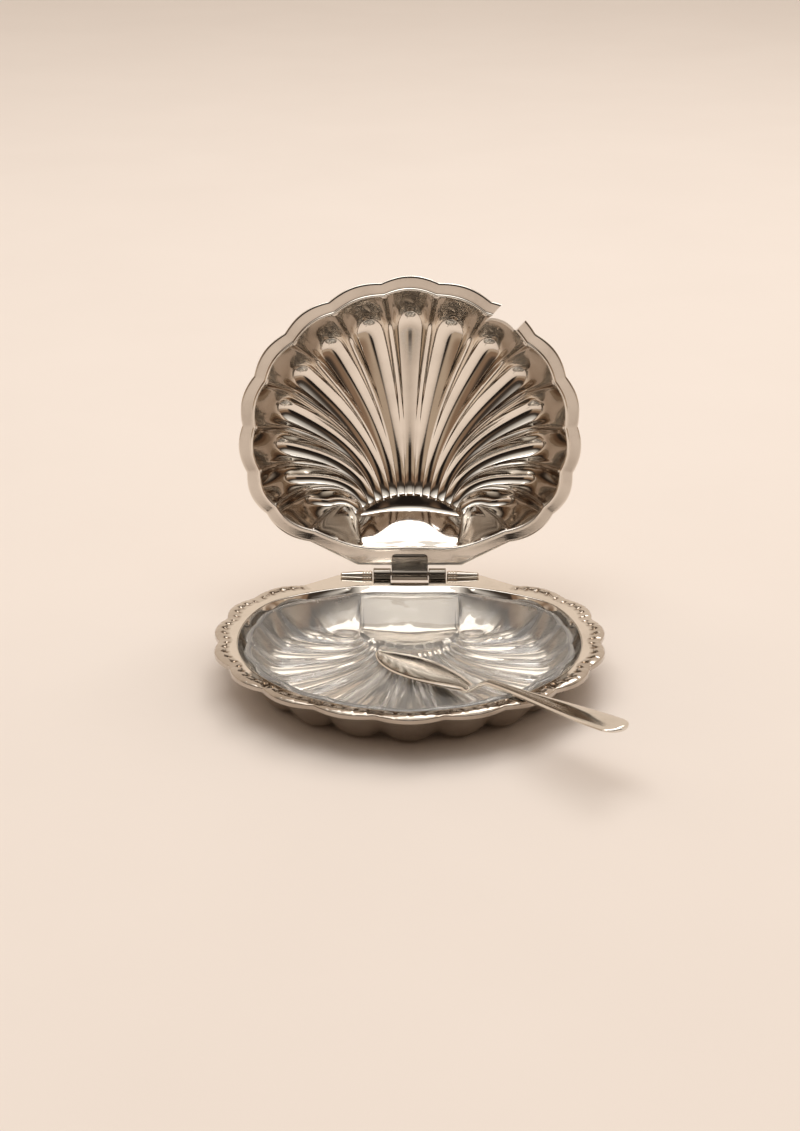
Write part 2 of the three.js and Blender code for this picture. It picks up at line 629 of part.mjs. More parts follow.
function knifeHalfThickness(along) {
  const toNeck = smoothstep(along, BLADE_LENGTH / 2, CREST_AT);
  const toEnd = smoothstep(along, REST_AT, KNIFE_LENGTH);
  const blade = lerp(BLADE_THICKNESS, NECK_THICKNESS, toNeck);
  return lerp(blade, HANDLE_THICKNESS, toEnd) / 2;
}

function makeButterKnife() {
  const points = [];
  for (let i = 0; i <= KNIFE_STEPS; i++) {
    const along = (i / KNIFE_STEPS) * KNIFE_LENGTH;
    const height = knifeHeight(along);
    for (let k = 0; k < KNIFE_SIDES; k++) {
      const turn = (2 * Math.PI * k) / KNIFE_SIDES;
      const across = knifeHalfWidth(along, Math.cos(turn) > 0) * Math.cos(turn);
      const up = knifeHalfThickness(along) * Math.sin(turn);
      points.push(new THREE.Vector3(along, across, height + up));
    }
  }
  const index = [];
  for (let k = 0; k < KNIFE_SIDES; k++) {
    const next = (k + 1) % KNIFE_SIDES;
    for (let i = 0; i < KNIFE_STEPS; i++) {
      const near = i * KNIFE_SIDES;
      const far = near + KNIFE_SIDES;
      index.push(near + k, near + next, far + next);
      index.push(near + k, far + next, far + k);
    }
    const end = KNIFE_STEPS * KNIFE_SIDES;
    if (k > 0 && next > 0) {
      index.push(0, next, k);
      index.push(end, end + k, end + next);
    }
  }
  return new THREE.BufferGeometry().setFromPoints(points).setIndex(index);
}

const silver = { color: 0xc8c0b6, roughness: 0.16, metalness: 1 };
const nickel = { color: 0x8d867c, roughness: 0.25, metalness: 1 };
const glass = { color: 0xdde6e3, roughness: 0.04, metalness: 0, transparent: true, opacity: 0.4 };

function piece(name, geometry, finish) {
  const mesh = new THREE.Mesh(geometry, new THREE.MeshStandardMaterial(finish));
  mesh.name = name;
  return mesh;
}

const dish = new THREE.Group();
dish.add(piece("base_shell", makeBaseShell(), silver));
dish.add(piece("glass_liner", makeGlassLiner(), glass));
dish.add(piece("base_knuckle_left", makeBaseKnuckle(-1), nickel));
dish.add(piece("base_knuckle_right", makeBaseKnuckle(1), nickel));
dish.add(piece("hinge_pin", makeHingePin(), nickel));

const lid = new THREE.Group();
lid.position.copy(hinge);
lid.rotation.x = -degToRad(LID_OPEN_DEG);
lid.add(piece("lid_shell", makeLidShell(), silver));
lid.add(piece("lid_hinge_leaf", makeLidHingeLeaf(), nickel));
dish.add(lid);

const knife = piece("butter_knife", makeButterKnife(), silver);
knife.position.set(KNIFE_TIP_X, KNIFE_TIP_Y, 0);
knife.rotation.z = Math.atan2(knifeDirection.y, knifeDirection.x);
dish.add(knife);

export default dish;
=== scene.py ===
from contextlib import contextmanager
from functools import partial
from math import asin, cos, pi, radians, sin, sqrt, tau
from types import SimpleNamespace

import bmesh
import bpy
import numpy as np
from mathutils import Matrix, Vector


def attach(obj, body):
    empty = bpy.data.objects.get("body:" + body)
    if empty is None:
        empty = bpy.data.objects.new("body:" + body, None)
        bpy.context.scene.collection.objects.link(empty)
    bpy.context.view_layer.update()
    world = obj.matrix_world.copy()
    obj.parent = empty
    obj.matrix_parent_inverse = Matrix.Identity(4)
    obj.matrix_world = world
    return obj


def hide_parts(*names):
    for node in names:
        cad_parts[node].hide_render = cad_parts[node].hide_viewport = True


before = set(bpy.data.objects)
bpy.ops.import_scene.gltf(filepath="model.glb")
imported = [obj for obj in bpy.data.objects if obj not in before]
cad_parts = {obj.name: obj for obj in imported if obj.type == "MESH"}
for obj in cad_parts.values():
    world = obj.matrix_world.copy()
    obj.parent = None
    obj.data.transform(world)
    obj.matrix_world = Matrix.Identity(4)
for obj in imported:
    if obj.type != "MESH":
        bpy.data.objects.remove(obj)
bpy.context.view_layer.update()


# Base shell: a scallop-shell dish pressed from one silver-plated sheet, with a fluted bowl, a flat flange and
# a struck border of small fans along its lobed, turned-down edge. The lid's hinge sits in a slot cut in its
# straight back edge, between two tapered bead bars soldered on top.
MM = 0.001  # the dish's lengths are in millimetres until a mesh is made
LIP_SHAPE = np.array([
    [0, 1], [0.485, 0.927], [0.749, 0.822], [0.931, 0.685], [1, 0.528],
    [0.975, 0.374], [0.868, 0.243], [0.7, 0.18], [0.345, 0.107], [0, 0.103],
])
LIP_HALF_WIDTH, LIP_REACH = 59, 109.4
LIP_STEPS, LIP_COUNT, LIP_EASING = 80, 1440, radians(2.5)
FOOT_REACH, HUB_REACH = 62, 22
RIM_HEIGHT = 17
FLUTES = 15
FLUTE_ANGLE = radians(13)
FAN_HALF = FLUTES / 2 * FLUTE_ANGLE
BACK_SPAN = pi - FAN_HALF
PAD_CORNER, PAD_MARGIN = 0.27, 1.5
PAD_STEP, PAD_WAVE_SPAN, PAD_BOW = 1.4, 13, 0.0009
EDGE_CORNER = 0.38
LEAVE_ANGLE, LEAVE_REACH = radians(30), 0.42
MEET_SHARE, MEET_REACH = 0.5, 1 / 3
PATH_STEPS, LEAST_FLOOR = 60, 0.4
# The painted wall shade is full 0.3 of the way up the wall, and clears from 0.8 of the pad's corner towards
# the hinge.
WALL_SHADE_BY, FLANK_CLEARS_FROM = 0.3, 0.8


def lerp(start, end, share):
    return start + (end - start) * share


def smoothstep(value, low, high):
    share = np.clip((value - low) / (high - low), 0, 1)
    return share * share * (3 - 2 * share)


def unit(vectors):
    return vectors / np.linalg.norm(vectors, axis=-1, keepdims=True)


def lip_radii():
    """The lip's distance from the hub for each of many equal angles round it, eased to a smooth curve."""
    right = LIP_SHAPE * (LIP_HALF_WIDTH, LIP_REACH)
    loop = np.vstack([right, right[-2:0:-1] * (-1, 1)])
    t = np.linspace(0, 1, LIP_STEPS, endpoint=False)[:, None]
    points = []
    for i in range(len(right) - 1):
        p0, p1, p2, p3 = (loop[(i + k) % len(loop)] for k in (-1, 0, 1, 2))
        a, b, c = (np.sum(d * d) ** 0.25 for d in (p1 - p0, p2 - p1, p3 - p2))
        leave = ((p1 - p0) / a - (p2 - p0) / (a + b) + (p2 - p1) / b) * b
        meet = ((p2 - p1) / b - (p3 - p1) / (b + c) + (p3 - p2) / c) * b
        points.append(
            (2 * t**3 - 3 * t**2 + 1) * p1 + (t**3 - 2 * t**2 + t) * leave
            + (3 * t**2 - 2 * t**3) * p2 + (t**3 - t**2) * meet
        )
    across, along = np.vstack(points + [right[-1:]]).T
    along = along - HUB_REACH
    angles = np.linspace(-pi, pi, LIP_COUNT, endpoint=False)
    radii = np.interp(np.abs(angles), np.arctan2(across, along), np.hypot(across, along))
    spread = np.exp(-0.5 * (angles / LIP_EASING) ** 2)
    eased = np.fft.ifft(np.fft.fft(radii) * np.fft.fft(np.fft.ifftshift(spread / spread.sum())))
    return angles, eased.real


LIP_ANGLES, LIP_RADII = lip_radii()


def lip_at(angle):
    radius = np.interp(angle, LIP_ANGLES, LIP_RADII, period=2 * pi)
    return np.stack([radius * np.sin(angle), HUB_REACH + radius * np.cos(angle)], axis=-1)


def lip_normal(angle):
    step = 0.02
    along = unit(lip_at(angle + step) - lip_at(angle - step))
    return np.stack([-along[..., 1], along[..., 0]], axis=-1)


class Columns:
    """The angles that a shell's rings share: its flutes, then the plain stretch at the hinge."""

    def __init__(self, per_flute, back_count):
        flute = np.arange(FLUTES * per_flute) / per_flute - FLUTES / 2
        share = 2 * np.arange(back_count) / back_count
        self.back = np.concatenate([np.zeros(len(flute)), np.where(share < 1, share, 2 - share)])
        self.side = np.concatenate([np.where(flute < 0, -1.0, 1.0), np.where(share < 1, 1.0, -1.0)])
        self.angle = np.concatenate([flute * FLUTE_ANGLE, FAN_HALF + share * BACK_SPAN])
        self.flute = np.concatenate([flute, self.side[len(flute):] * FLUTES / 2])
        self.count = len(self.angle)
        self.lip, self.normal = lip_at(self.angle), lip_normal(self.angle)
        self.front = np.maximum(0, np.cos(self.angle)) ** 2
        self.press = 1 - smoothstep(self.back, 0, PAD_CORNER)
        self.lobe = np.where(self.back > 0, 0, np.abs(np.cos(pi * self.flute)))

    def offset(self, out):
        return self.lip + self.normal * np.reshape(out, (-1, 1))

    def level(self, out, depth):
        """A ring at a distance outside the lip and a depth below the rim's plane."""
        return np.column_stack([self.offset(np.broadcast_to(out, self.count)), np.full(self.count, depth)])

    def edge(self, flange, lobe, back, back_half, inset, depth):
        """The flange's lobed outer edge, with its straight stretch at the hinge."""
        lobed = self.offset(flange + lobe * self.lobe - inset)
        valley = lip_at(FAN_HALF) + lip_normal(FAN_HALF) * (flange - inset)
        valley = np.column_stack([self.side * valley[0], np.full(self.count, valley[1])])
        end = np.column_stack([self.side * (back_half - inset), np.full(self.count, back + inset)])
        straight = end * np.column_stack([(1 - self.back) / (1 - EDGE_CORNER), np.ones(self.count)])
        turning = lerp(valley, end, (self.back / EDGE_CORNER)[:, None])
        back_line = np.where((self.back >= EDGE_CORNER)[:, None], straight, turning)
        plan = np.where((self.back > 0)[:, None], back_line, lobed)
        return np.column_stack([plan, np.full(self.count, depth)])


class Pressing:
    """The fluted part of a shell before its flutes: rings from the hub over pad, fan and wall to the rim.

    Its form gives the rim's place outside the lip (edge, front_extra, wave), the pad, the fan's floor and
    the wall.
    """

    def __init__(self, columns, form, pad_rows, fan_rows, wall_rows):
        c, form = columns, SimpleNamespace(**form)
        self.columns, self.form = c, form
        rim = c.offset(form.edge + form.front_extra * c.front + form.wave * (c.lobe - 0.5) * c.press)
        start = self.pad_edge()
        reach = np.linalg.norm(rim - start, axis=1, keepdims=True)
        straight = (rim - start) / reach
        turn = c.flute / (FLUTES / 2) * LEAVE_ANGLE
        leave = unit(lerp(np.column_stack([np.sin(turn), np.cos(turn)]), straight, 1 - c.press[:, None]))
        meet = unit(lerp(c.normal, straight, 1 - MEET_SHARE))
        self.path = start, start + leave * reach * LEAVE_REACH, rim - meet * reach * MEET_REACH, rim
        steps = np.stack([self.along_path(np.full(c.count, t)) for t in np.linspace(0, 1, PATH_STEPS)])
        length = np.linalg.norm(np.diff(steps, axis=0), axis=2).sum(axis=0)
        width = lerp(form.wall_side, form.wall_front, np.cos(c.angle) ** 2)
        shoulder = np.maximum(LEAST_FLOOR, 1 - width / length)
        start_depth = self.pad_depth(start)
        lack = form.floor(0) - start_depth - form.pad_step

        def floor(share):
            step = form.pad_step * (1 - smoothstep(share, 0, form.pad_step_share))
            return form.floor(share) - lack * (1 - share) ** 2 - step

        def pressed(t, depth):
            unpressed = lerp(start_depth, form.rim_depth, t)
            return np.column_stack([self.along_path(t), lerp(unpressed, depth, c.press)])

        hub = np.array([0, HUB_REACH])
        rows = []
        for share in pad_rows:
            plan = lerp(hub, start, share)
            rows.append(np.column_stack([plan, self.pad_depth(plan)]))
        for share in fan_rows:
            rows.append(pressed(share * shoulder, floor(share)))
        for share in wall_rows:
            wall = lerp(floor(1), form.rim_depth, share**form.wall_power)
            rows.append(pressed(lerp(shoulder, 1, share), wall))
        self.points = np.stack(rows)
        first = len(pad_rows) + 2
        for _ in range(form.easing):
            eased = (self.points[:-2] + 2 * self.points[1:-1] + self.points[2:]) / 4
            self.points[first:-2] = eased[first - 1:-1]
        self.hub = np.array([0, HUB_REACH, float(self.pad_depth(hub))])
        self.fan = np.concatenate([np.zeros(len(pad_rows)), fan_rows, np.ones(len(wall_rows))])
        self.wall = np.concatenate([np.zeros(len(pad_rows) + len(fan_rows)), wall_rows])
        self.on_pad = len(pad_rows)
        inner = np.concatenate([np.broadcast_to(self.hub, (1, c.count, 3)), self.points[:-1]])
        outer = np.concatenate([self.points[1:], self.points[-1:]])
        around = np.roll(self.points, -1, axis=1) - np.roll(self.points, 1, axis=1)
        self.normals = unit(np.cross(around, outer - inner))

    def pad_edge(self):
        """The half-moon pad's outline: an arc in front, two flanks, and a line beside the rim."""
        c, form = self.columns, self.form
        rise = form.pad_reach - form.pad_side
        radius = (form.pad_half**2 + rise**2) / (2 * rise)
        turn = c.flute / (FLUTES / 2) * asin(form.pad_half / radius)
        arc = np.column_stack([radius * np.sin(turn), form.pad_reach - radius + radius * np.cos(turn)])
        beside_rim = c.offset(form.edge - PAD_MARGIN)
        corner_angle = c.side * (FAN_HALF + PAD_CORNER * BACK_SPAN)
        corner = lip_at(corner_angle) + lip_normal(corner_angle) * (form.edge - PAD_MARGIN)
        arc_end = np.column_stack([c.side * form.pad_half, np.full(c.count, form.pad_side)])
        flank = lerp(arc_end, corner, (c.back / PAD_CORNER)[:, None])
        at_back = np.where((c.back >= PAD_CORNER)[:, None], beside_rim, flank)
        return np.where((c.back > 0)[:, None], at_back, arc)

    def pad_depth(self, plan):
        form = self.form
        hinge_end = lip_at(pi)[1] - form.edge
        share = (plan[..., 1] - hinge_end) / (form.pad_reach - hinge_end)
        share = np.clip(share * (1 + PAD_BOW * plan[..., 0] ** 2), 0, 1)
        wave = form.pad_wave * np.cos(tau * plan[..., 0] / PAD_WAVE_SPAN) * np.sin(pi * share)
        return lerp(form.rim_depth, form.pad_depth, form.pad_profile(share)) + wave

    def along_path(self, t):
        a, b, c, d = self.path
        t = t[:, None]
        return a * (1 - t) ** 3 + 3 * b * t * (1 - t) ** 2 + 3 * c * t**2 * (1 - t) + d * t**3

    def rings(self, thickness=0):
        made = []
        # Painted shade: the walls and the plain stretch beside the pad are darkened through the tarnish mark,
        # fading out towards the hinge.
        flank = 1 - smoothstep(self.columns.back, FLANK_CLEARS_FROM * PAD_CORNER, PAD_CORNER)
        for r, points in enumerate(self.points):
            press = self.columns.press if r >= self.on_pad else 0
            beside_pad = 1 - self.columns.press if r >= self.on_pad else 0
            painted_wall_shade = np.maximum(smoothstep(self.wall[r], 0, WALL_SHADE_BY), beside_pad) * flank
            made.append(ring(points + self.normals[r] * thickness, self.normals[r], fan=self.fan[r],
                             wall=self.wall[r], press=press, tarnish=self.form.wall_tarnish * painted_wall_shade))
        return made

    def pole(self, thickness=0):
        return self.hub + (0, 0, thickness)


def ring(points, direction=(0, 0, 1), **marks):
    """One ring of points, with the direction it is pressed in and the marks its points carry."""
    return {"points": points, "direction": np.broadcast_to(direction, points.shape), **marks}


def add(name, data):
    made = bpy.data.objects.new(name, data)
    bpy.context.scene.collection.objects.link(made)
    return made


def row_faces(rows, count, first=0):
    """The faces between rows of points, each row once round."""
    i = np.arange(count)
    j = (i + 1) % count
    start = first + count * np.arange(rows - 1)[:, None]
    return np.stack([start + i, start + count + i, start + count + j, start + j], axis=-1).reshape(-1, 4)


def shell_mesh(name, columns, start_pole, rings, end_pole, turn, shift):
    """A closed mesh from one pole through the rings to the other, turned and shifted into place."""
    count, rings = columns.count, list(rings)
    points = np.vstack([[start_pole]] + [r["points"] for r in rings] + [[end_pole]])
    points = (points @ np.array(turn).T + shift) * MM
    i = np.arange(count)
    j = (i + 1) % count
    quads = row_faces(len(rings), count, first=1)
    first = np.stack([np.zeros(count, int), 1 + i, 1 + j], axis=-1)
    end = len(points) - 1
    last = np.stack([end - count + i, np.full(count, end), end - count + j], axis=-1)
    if np.linalg.det(turn) < 0:
        quads, first, last = quads[:, ::-1], first[:, ::-1], last[:, ::-1]
    mesh = bpy.data.meshes.new(name)
    mesh.from_pydata(points.tolist(), [], quads.tolist() + first.tolist() + last.tolist())
    marks = {"flute": [columns.flute] * len(rings)}
    for mark in ("fan", "wall", "press", "border", "edge_distance", "tarnish"):
        marks[mark] = [np.broadcast_to(r.get(mark, 0.0), count) for r in rings]
    for mark, values in marks.items():
        layer = mesh.attributes.new(mark, "FLOAT", "POINT")
        layer.data.foreach_set("value", np.concatenate([[0], *values, [0]]).astype(np.float32))
    still = [(0, 0, 0)]
    direction = np.vstack([still] + [r["direction"] for r in rings] + [still]) @ np.array(turn).T
    layer = mesh.attributes.new("direction", "FLOAT_VECTOR", "POINT")
    layer.data.foreach_set("vector", direction.astype(np.float32).ravel())
    return add(name, mesh)


def give(tree, node, inputs):
    """Gives each of these inputs of the node a value or a link."""
    for key, value in inputs.items():
        if isinstance(value, bpy.types.NodeSocket):
            tree.links.new(value, node.inputs[key])
        else:
            node.inputs[key].default_value = value


def wire(tree, kind, inputs=None, **settings):
    """Adds a node with its settings and inputs."""
    node = tree.nodes.new(kind)
    for setting, value in settings.items():
        setattr(node, setting, value)
    give(tree, node, inputs or {})
    return node


def reckon(tree, operation, *values):
    return wire(tree, "ShaderNodeMath", dict(enumerate(values)), operation=operation).outputs[0]


def ramp(tree, value, low=0.0, high=1.0, start=0.0, end=1.0, kind="SMOOTHSTEP"):
    """The value carried from the range low to high over to the range start to end."""
    return wire(tree, "ShaderNodeMapRange", {0: value, 1: low, 2: high, 3: start, 4: end},
                interpolation_type=kind).outputs[0]


def mark_of(tree, name, data_type="FLOAT"):
    return wire(tree, "GeometryNodeInputNamedAttribute", {"Name": name}, data_type=data_type).outputs[0]


def add_sockets(tree, way, kind, *names):
    for name in names:
        tree.interface.new_socket(name, in_out=way, socket_type="NodeSocket" + kind)


def start_tree(name, *sizes):
    """A geometry tree with one geometry in and out, named sizes and a finish."""
    tree = bpy.data.node_groups.new(name, "GeometryNodeTree")
    add_sockets(tree, "INPUT", "Geometry", "Geometry")
    add_sockets(tree, "INPUT", "Float", *sizes)
    add_sockets(tree, "INPUT", "Material", "Finish")
    add_sockets(tree, "OUTPUT", "Geometry", "Geometry")
    return tree, tree.nodes.new("NodeGroupInput").outputs


def end_tree(tree, given, offset):
    """The geometry moved by the offset, made real and given its finish."""
    moved = wire(tree, "GeometryNodeSetPosition", {"Geometry": given["Geometry"], "Offset": offset})
    real = wire(tree, "GeometryNodeRealizeInstances", {0: moved.outputs[0]})
    finish = {"Geometry": real.outputs[0], "Material": given["Finish"]}
    wire(tree, "NodeGroupOutput", {0: wire(tree, "GeometryNodeSetMaterial", finish).outputs[0]})
    return tree


def flute_press():
    """Rounded channels between beaded ridges that deepen from the pad to the shoulder and fade to the rim."""
    tree, given = start_tree("Press flutes", "Height at pad", "Height at shoulder", "Height at rim", "Growth",
                             "Ridge softness", "Roundness", "Bead width", "Bead share")
    calc = partial(reckon, tree)
    wave = calc("COSINE", calc("MULTIPLY", mark_of(tree, "flute"), pi))
    soft = calc("POWER", given["Ridge softness"], 2.0)
    channel = calc("SQRT", calc("ADD", calc("POWER", wave, 2.0), soft))
    full = calc("SQRT", calc("ADD", soft, 1.0))
    shaped = calc("POWER", calc("DIVIDE", channel, full), given["Roundness"])
    across = calc("DIVIDE", wave, given["Bead width"])
    bead = calc("MAXIMUM", calc("SUBTRACT", 1.0, calc("POWER", across, 2.0)), 0.0)
    channels = calc("MULTIPLY_ADD", shaped, 2.0, -1.0)
    ripple = calc("SUBTRACT", channels, calc("MULTIPLY", bead, given["Bead share"]))
    grown = calc("POWER", mark_of(tree, "fan"), given["Growth"])
    deepening = calc("SUBTRACT", given["Height at shoulder"], given["Height at pad"])
    on_floor = calc("MULTIPLY_ADD", grown, deepening, given["Height at pad"])
    fading = calc("SUBTRACT", given["Height at rim"], given["Height at shoulder"])
    height = calc("MULTIPLY_ADD", ramp(tree, mark_of(tree, "wall")), fading, on_floor)
    lift = calc("MULTIPLY", calc("MULTIPLY", ripple, height), mark_of(tree, "press"))
    aim = mark_of(tree, "direction", "FLOAT_VECTOR")
    move = wire(tree, "ShaderNodeVectorMath", {0: aim, "Scale": lift}, operation="SCALE").outputs[0]
    return end_tree(tree, given, move)


def border_strike():
    """Each edge lobe becomes a small domed fan, with a row of punched strokes along its inner side."""
    fade_from, stroke_from, stroke_full, stroke_least = 0.86, 0.58, 0.78, 0.25
    tree, given = start_tree("Strike border", "Band", "Crown", "Stroke depth", "Strokes per lobe",
                             "Stroke sharpness")
    calc = partial(reckon, tree)
    flute = mark_of(tree, "flute")
    share = calc("DIVIDE", mark_of(tree, "edge_distance"), given["Band"])
    inside = ramp(tree, share, 1.0, fade_from)
    phase = calc("MULTIPLY", calc("MULTIPLY", flute, given["Strokes per lobe"]), tau)
    peak = calc("MAXIMUM", calc("COSINE", phase), 0.0)
    stroke = calc("POWER", peak, given["Stroke sharpness"])
    deep = ramp(tree, share, stroke_from, stroke_full, stroke_least, 1.0)
    dent = calc("MULTIPLY", calc("MULTIPLY", stroke, deep), given["Stroke depth"])
    arch = calc("ABSOLUTE", calc("COSINE", calc("MULTIPLY", flute, pi)))
    slope = calc("SINE", calc("MULTIPLY", share, pi))
    dome = calc("MULTIPLY", calc("MULTIPLY", arch, slope), given["Crown"])
    rise = calc("MULTIPLY", calc("SUBTRACT", dome, dent), inside)
    lift = calc("MULTIPLY", rise, mark_of(tree, "border"))
    return end_tree(tree, given, wire(tree, "ShaderNodeCombineXYZ", {2: lift}).outputs[0])


def run_tree(piece, tree, **sizes):
    """Puts the tree on the piece with its sizes, given by socket name with _ for spaces."""
    modifier = piece.modifiers.new(tree.name, "NODES")
    modifier.node_group = tree
    for socket in tree.interface.items_tree:
        key = socket.name.replace(" ", "_")
        if socket.in_out == "INPUT" and key in sizes:
            modifier[socket.identifier] = sizes[key]


def cut_with(piece, cutter, operation="DIFFERENCE"):
    modifier = piece.modifiers.new(operation, "BOOLEAN")
    modifier.operation = operation
    modifier.object = cutter
    modifier.solver = "MANIFOLD"


@contextmanager
def editing(mesh):
    """The mesh opened for a change, and written back after it."""
    maker = bmesh.new()
    maker.from_mesh(mesh)
    yield maker
    maker.to_mesh(mesh)
    maker.free()


WELD, CREASE = 1e-6, radians(38)


def settle(piece, finish=None):
    """Turns the modifiers into plain mesh, welds what cuts leave, and shades it smooth up to CREASE."""
    if finish:
        piece.data.materials.append(finish)
    cutters = [m.object for m in piece.modifiers if m.type == "BOOLEAN"]
    graph = bpy.context.evaluated_depsgraph_get()
    mesh = bpy.data.meshes.new_from_object(
        piece.evaluated_get(graph), preserve_all_data_layers=True, depsgraph=graph)
    piece.modifiers.clear()
    old, piece.data = piece.data, mesh
    bpy.data.meshes.remove(old)
    mesh.name = piece.name
    if cutters:
        with editing(mesh) as maker:
            bmesh.ops.remove_doubles(maker, verts=maker.verts, dist=WELD)
            bmesh.ops.dissolve_degenerate(maker, edges=maker.edges, dist=WELD)
    mesh.shade_smooth()
    mesh.set_sharp_from_angle(angle=CREASE)
    for cutter in cutters:
        bpy.data.objects.remove(cutter)


def block(name, low, high, turn=0.0, shift=(0, 0, 0)):
    """A box between two corners in millimetres, turned about Z and shifted."""
    mesh = bpy.data.meshes.new(name)
    place = Matrix.Scale(MM, 4) @ Matrix.Translation(shift) @ Matrix.Rotation(turn, 4, "Z")
    with editing(mesh) as maker:
        bmesh.ops.create_cube(maker, size=1)
        for v in maker.verts:
            v.co = [lerp(a, b, k + 0.5) for a, b, k in zip(low, high, v.co)]
        bmesh.ops.transform(maker, verts=maker.verts, matrix=place)
    return add(name, mesh)


def own_place(tree):
    return tree.nodes.new("ShaderNodeTexCoord").outputs["Object"]


def noise(tree, place, scale, detail):
    return wire(tree, "ShaderNodeTexNoise", {"Vector": place, "Scale": scale, "Detail": detail}).outputs[0]


def blend(tree, share, first, second):
    return wire(tree, "ShaderNodeMix", {"Factor": share, 6: first, 7: second}, data_type="RGBA").outputs[2]


CLOUD_SCALE, SPECK_SCALE, HAIRLINE_SCALE = 70.0, 900.0, 260.0
HAIRLINE_TURN, HAIRLINE_STRETCH, HAIRLINE_DEPTH = (0.2, 0.3, 0.7), (1.0, 14.0, 14.0), 0.05 * MM
PATCH_FROM, PATCH_TO = 0.42, 0.68
SPECK_SHARE, SPECK_LEAST = 0.5, 0.1
BLOT_TARNISH, TARNISH_ROUGHNESS = 0.35, 0.05


def handled_plate():
    """Polished plate after years of wiping: cloudy polish, hairlines, brown tarnish and painted shade."""
    group = bpy.data.node_groups.new("Handled plate", "ShaderNodeTree")
    add_sockets(group, "INPUT", "Color", "Metal", "Tarnish colour")
    add_sockets(group, "INPUT", "Float", "Tarnish", "Polish", "Wear")
    add_sockets(group, "OUTPUT", "Color", "Colour")
    add_sockets(group, "OUTPUT", "Float", "Roughness", "Height")
    calc = partial(reckon, group)
    given = group.nodes.new("NodeGroupInput").outputs
    place = own_place(group)
    along = wire(group, "ShaderNodeMapping", {"Vector": place, "Rotation": HAIRLINE_TURN,
                                              "Scale": HAIRLINE_STRETCH}).outputs[0]
    hairline = noise(group, along, HAIRLINE_SCALE, 4.0)
    patchy = ramp(group, noise(group, place, CLOUD_SCALE, 5.0), PATCH_FROM, PATCH_TO, kind="LINEAR")
    speck = calc("MULTIPLY_ADD", noise(group, place, SPECK_SCALE, 3.0), SPECK_SHARE, SPECK_LEAST)
    brown = calc("MULTIPLY_ADD", calc("MULTIPLY", patchy, speck), BLOT_TARNISH, given["Tarnish"])
    brown = wire(group, "ShaderNodeClamp", {0: brown}).outputs[0]
    colour = blend(group, brown, given["Metal"], given["Tarnish colour"])
    worn = calc("ADD", patchy, hairline)
    rough = calc("MULTIPLY_ADD", worn, given["Wear"], given["Polish"])
    rough = calc("MULTIPLY_ADD", brown, TARNISH_ROUGHNESS, rough)
    wire(group, "NodeGroupOutput", {"Colour": colour, "Roughness": rough, "Height": hairline})
    return group


PLATE_GROUP = handled_plate()


def new_finish(name, inputs):
    """A material, its node tree and its shader, with these shader inputs."""
    material = bpy.data.materials.new(name)
    material.use_nodes = True
    shader = material.node_tree.nodes["Principled BSDF"]
    give(material.node_tree, shader, inputs)
    return material, material.node_tree, shader


def plate_finish(name, metal, tarnish_colour, tarnish, polish, wear, hairlines):
    """A polished metal. Tarnish, with any painted shade, is a value, or the name of the mark that says where
    it lies.
    """
    material, tree, shader = new_finish(name, {"Metallic": 1.0})
    if isinstance(tarnish, str):
        tarnish = wire(tree, "ShaderNodeAttribute", attribute_name=tarnish).outputs["Fac"]
    plate = wire(tree, "ShaderNodeGroup", {"Metal": (*metal, 1), "Tarnish colour": (*tarnish_colour, 1),
                                           "Tarnish": tarnish, "Polish": polish, "Wear": wear},
                 node_tree=PLATE_GROUP).outputs
    bump = wire(tree, "ShaderNodeBump", {"Height": plate["Height"], "Strength": hairlines,
                                         "Distance": HAIRLINE_DEPTH}).outputs[0]
    give(tree, shader, {"Base Color": plate["Colour"], "Roughness": plate["Roughness"], "Normal": bump})
    return material


BROWN_TARNISH_AND_SHADE = (0.20, 0.14, 0.09)
# The silver's tarnish mark is real tarnish on the struck border and painted shade on the walls, front, edge
# and underside.
SILVER = plate_finish("silver_plate", metal=(0.88, 0.83, 0.765), tarnish_colour=BROWN_TARNISH_AND_SHADE,
                      tarnish="tarnish", polish=0.035, wear=0.03, hairlines=0.05)

BASE_SHEET = 1.2
BASE_OPENING, BASE_FRONT_EXTRA, OPENING_ROUND = 2, 3.6, 0.5
BASE_FLANGE, BASE_LOBE = 10, 2.2
BASE_BACK, BASE_BACK_HALF = 1.9, 28
EDGE_DROP, EDGE_ROLL, EDGE_ROUND = 2, 0.7, 0.5
FLUTE_FLOOR, FLUTE_SHOULDER, FLUTE_RIM, FLUTE_GROWTH = 0.35, 1.6, 0.4, 1.2
RIB_EXCESS = 0.5  # pressed flat on the table
RIB_DEPTH = RIM_HEIGHT - BASE_SHEET + RIB_EXCESS
BORDER_BAND, BAND_LIMIT = 4.4, 0.9
STROKES, STROKE_FROM, STROKE_FULL = 5.0, 1.8, 3
# Of these darkenings, the strokes and the border's tone are tarnish; the front, edge, roll and underside ones
# are painted shade.
STROKE_TARNISH, BORDER_TARNISH, FRONT_PAINTED_SHADE = 0.75, 0.25, 0.35
EDGE_PAINTED_SHADE, ROLL_PAINTED_SHADE, UNDERSIDE_PAINTED_SHADE = 0.3, 0.35, 0.55
BASE_TURN, BASE_SHIFT = np.diag([1, -1, -1]), (0, FOOT_REACH, RIM_HEIGHT)
PAD_CREASE_SOFTNESS = 0.03


def rows_from(first, count):
    return np.linspace(first, 1, count)


def flute_height(share):
    return lerp(FLUTE_FLOOR, FLUTE_SHOULDER, share**FLUTE_GROWTH)


def creased(share, crease_at, levelling, start=1.0, bend=0.0):
    """A pad's profile: steep from the hinge, then turning in a soft crease to nearly level."""
    past = PAD_CREASE_SOFTNESS * np.log1p(np.exp((share - crease_at) / PAD_CREASE_SOFTNESS))
    return (share * (start + bend * share) - levelling * past) / (start + bend - levelling * (1 - crease_at))


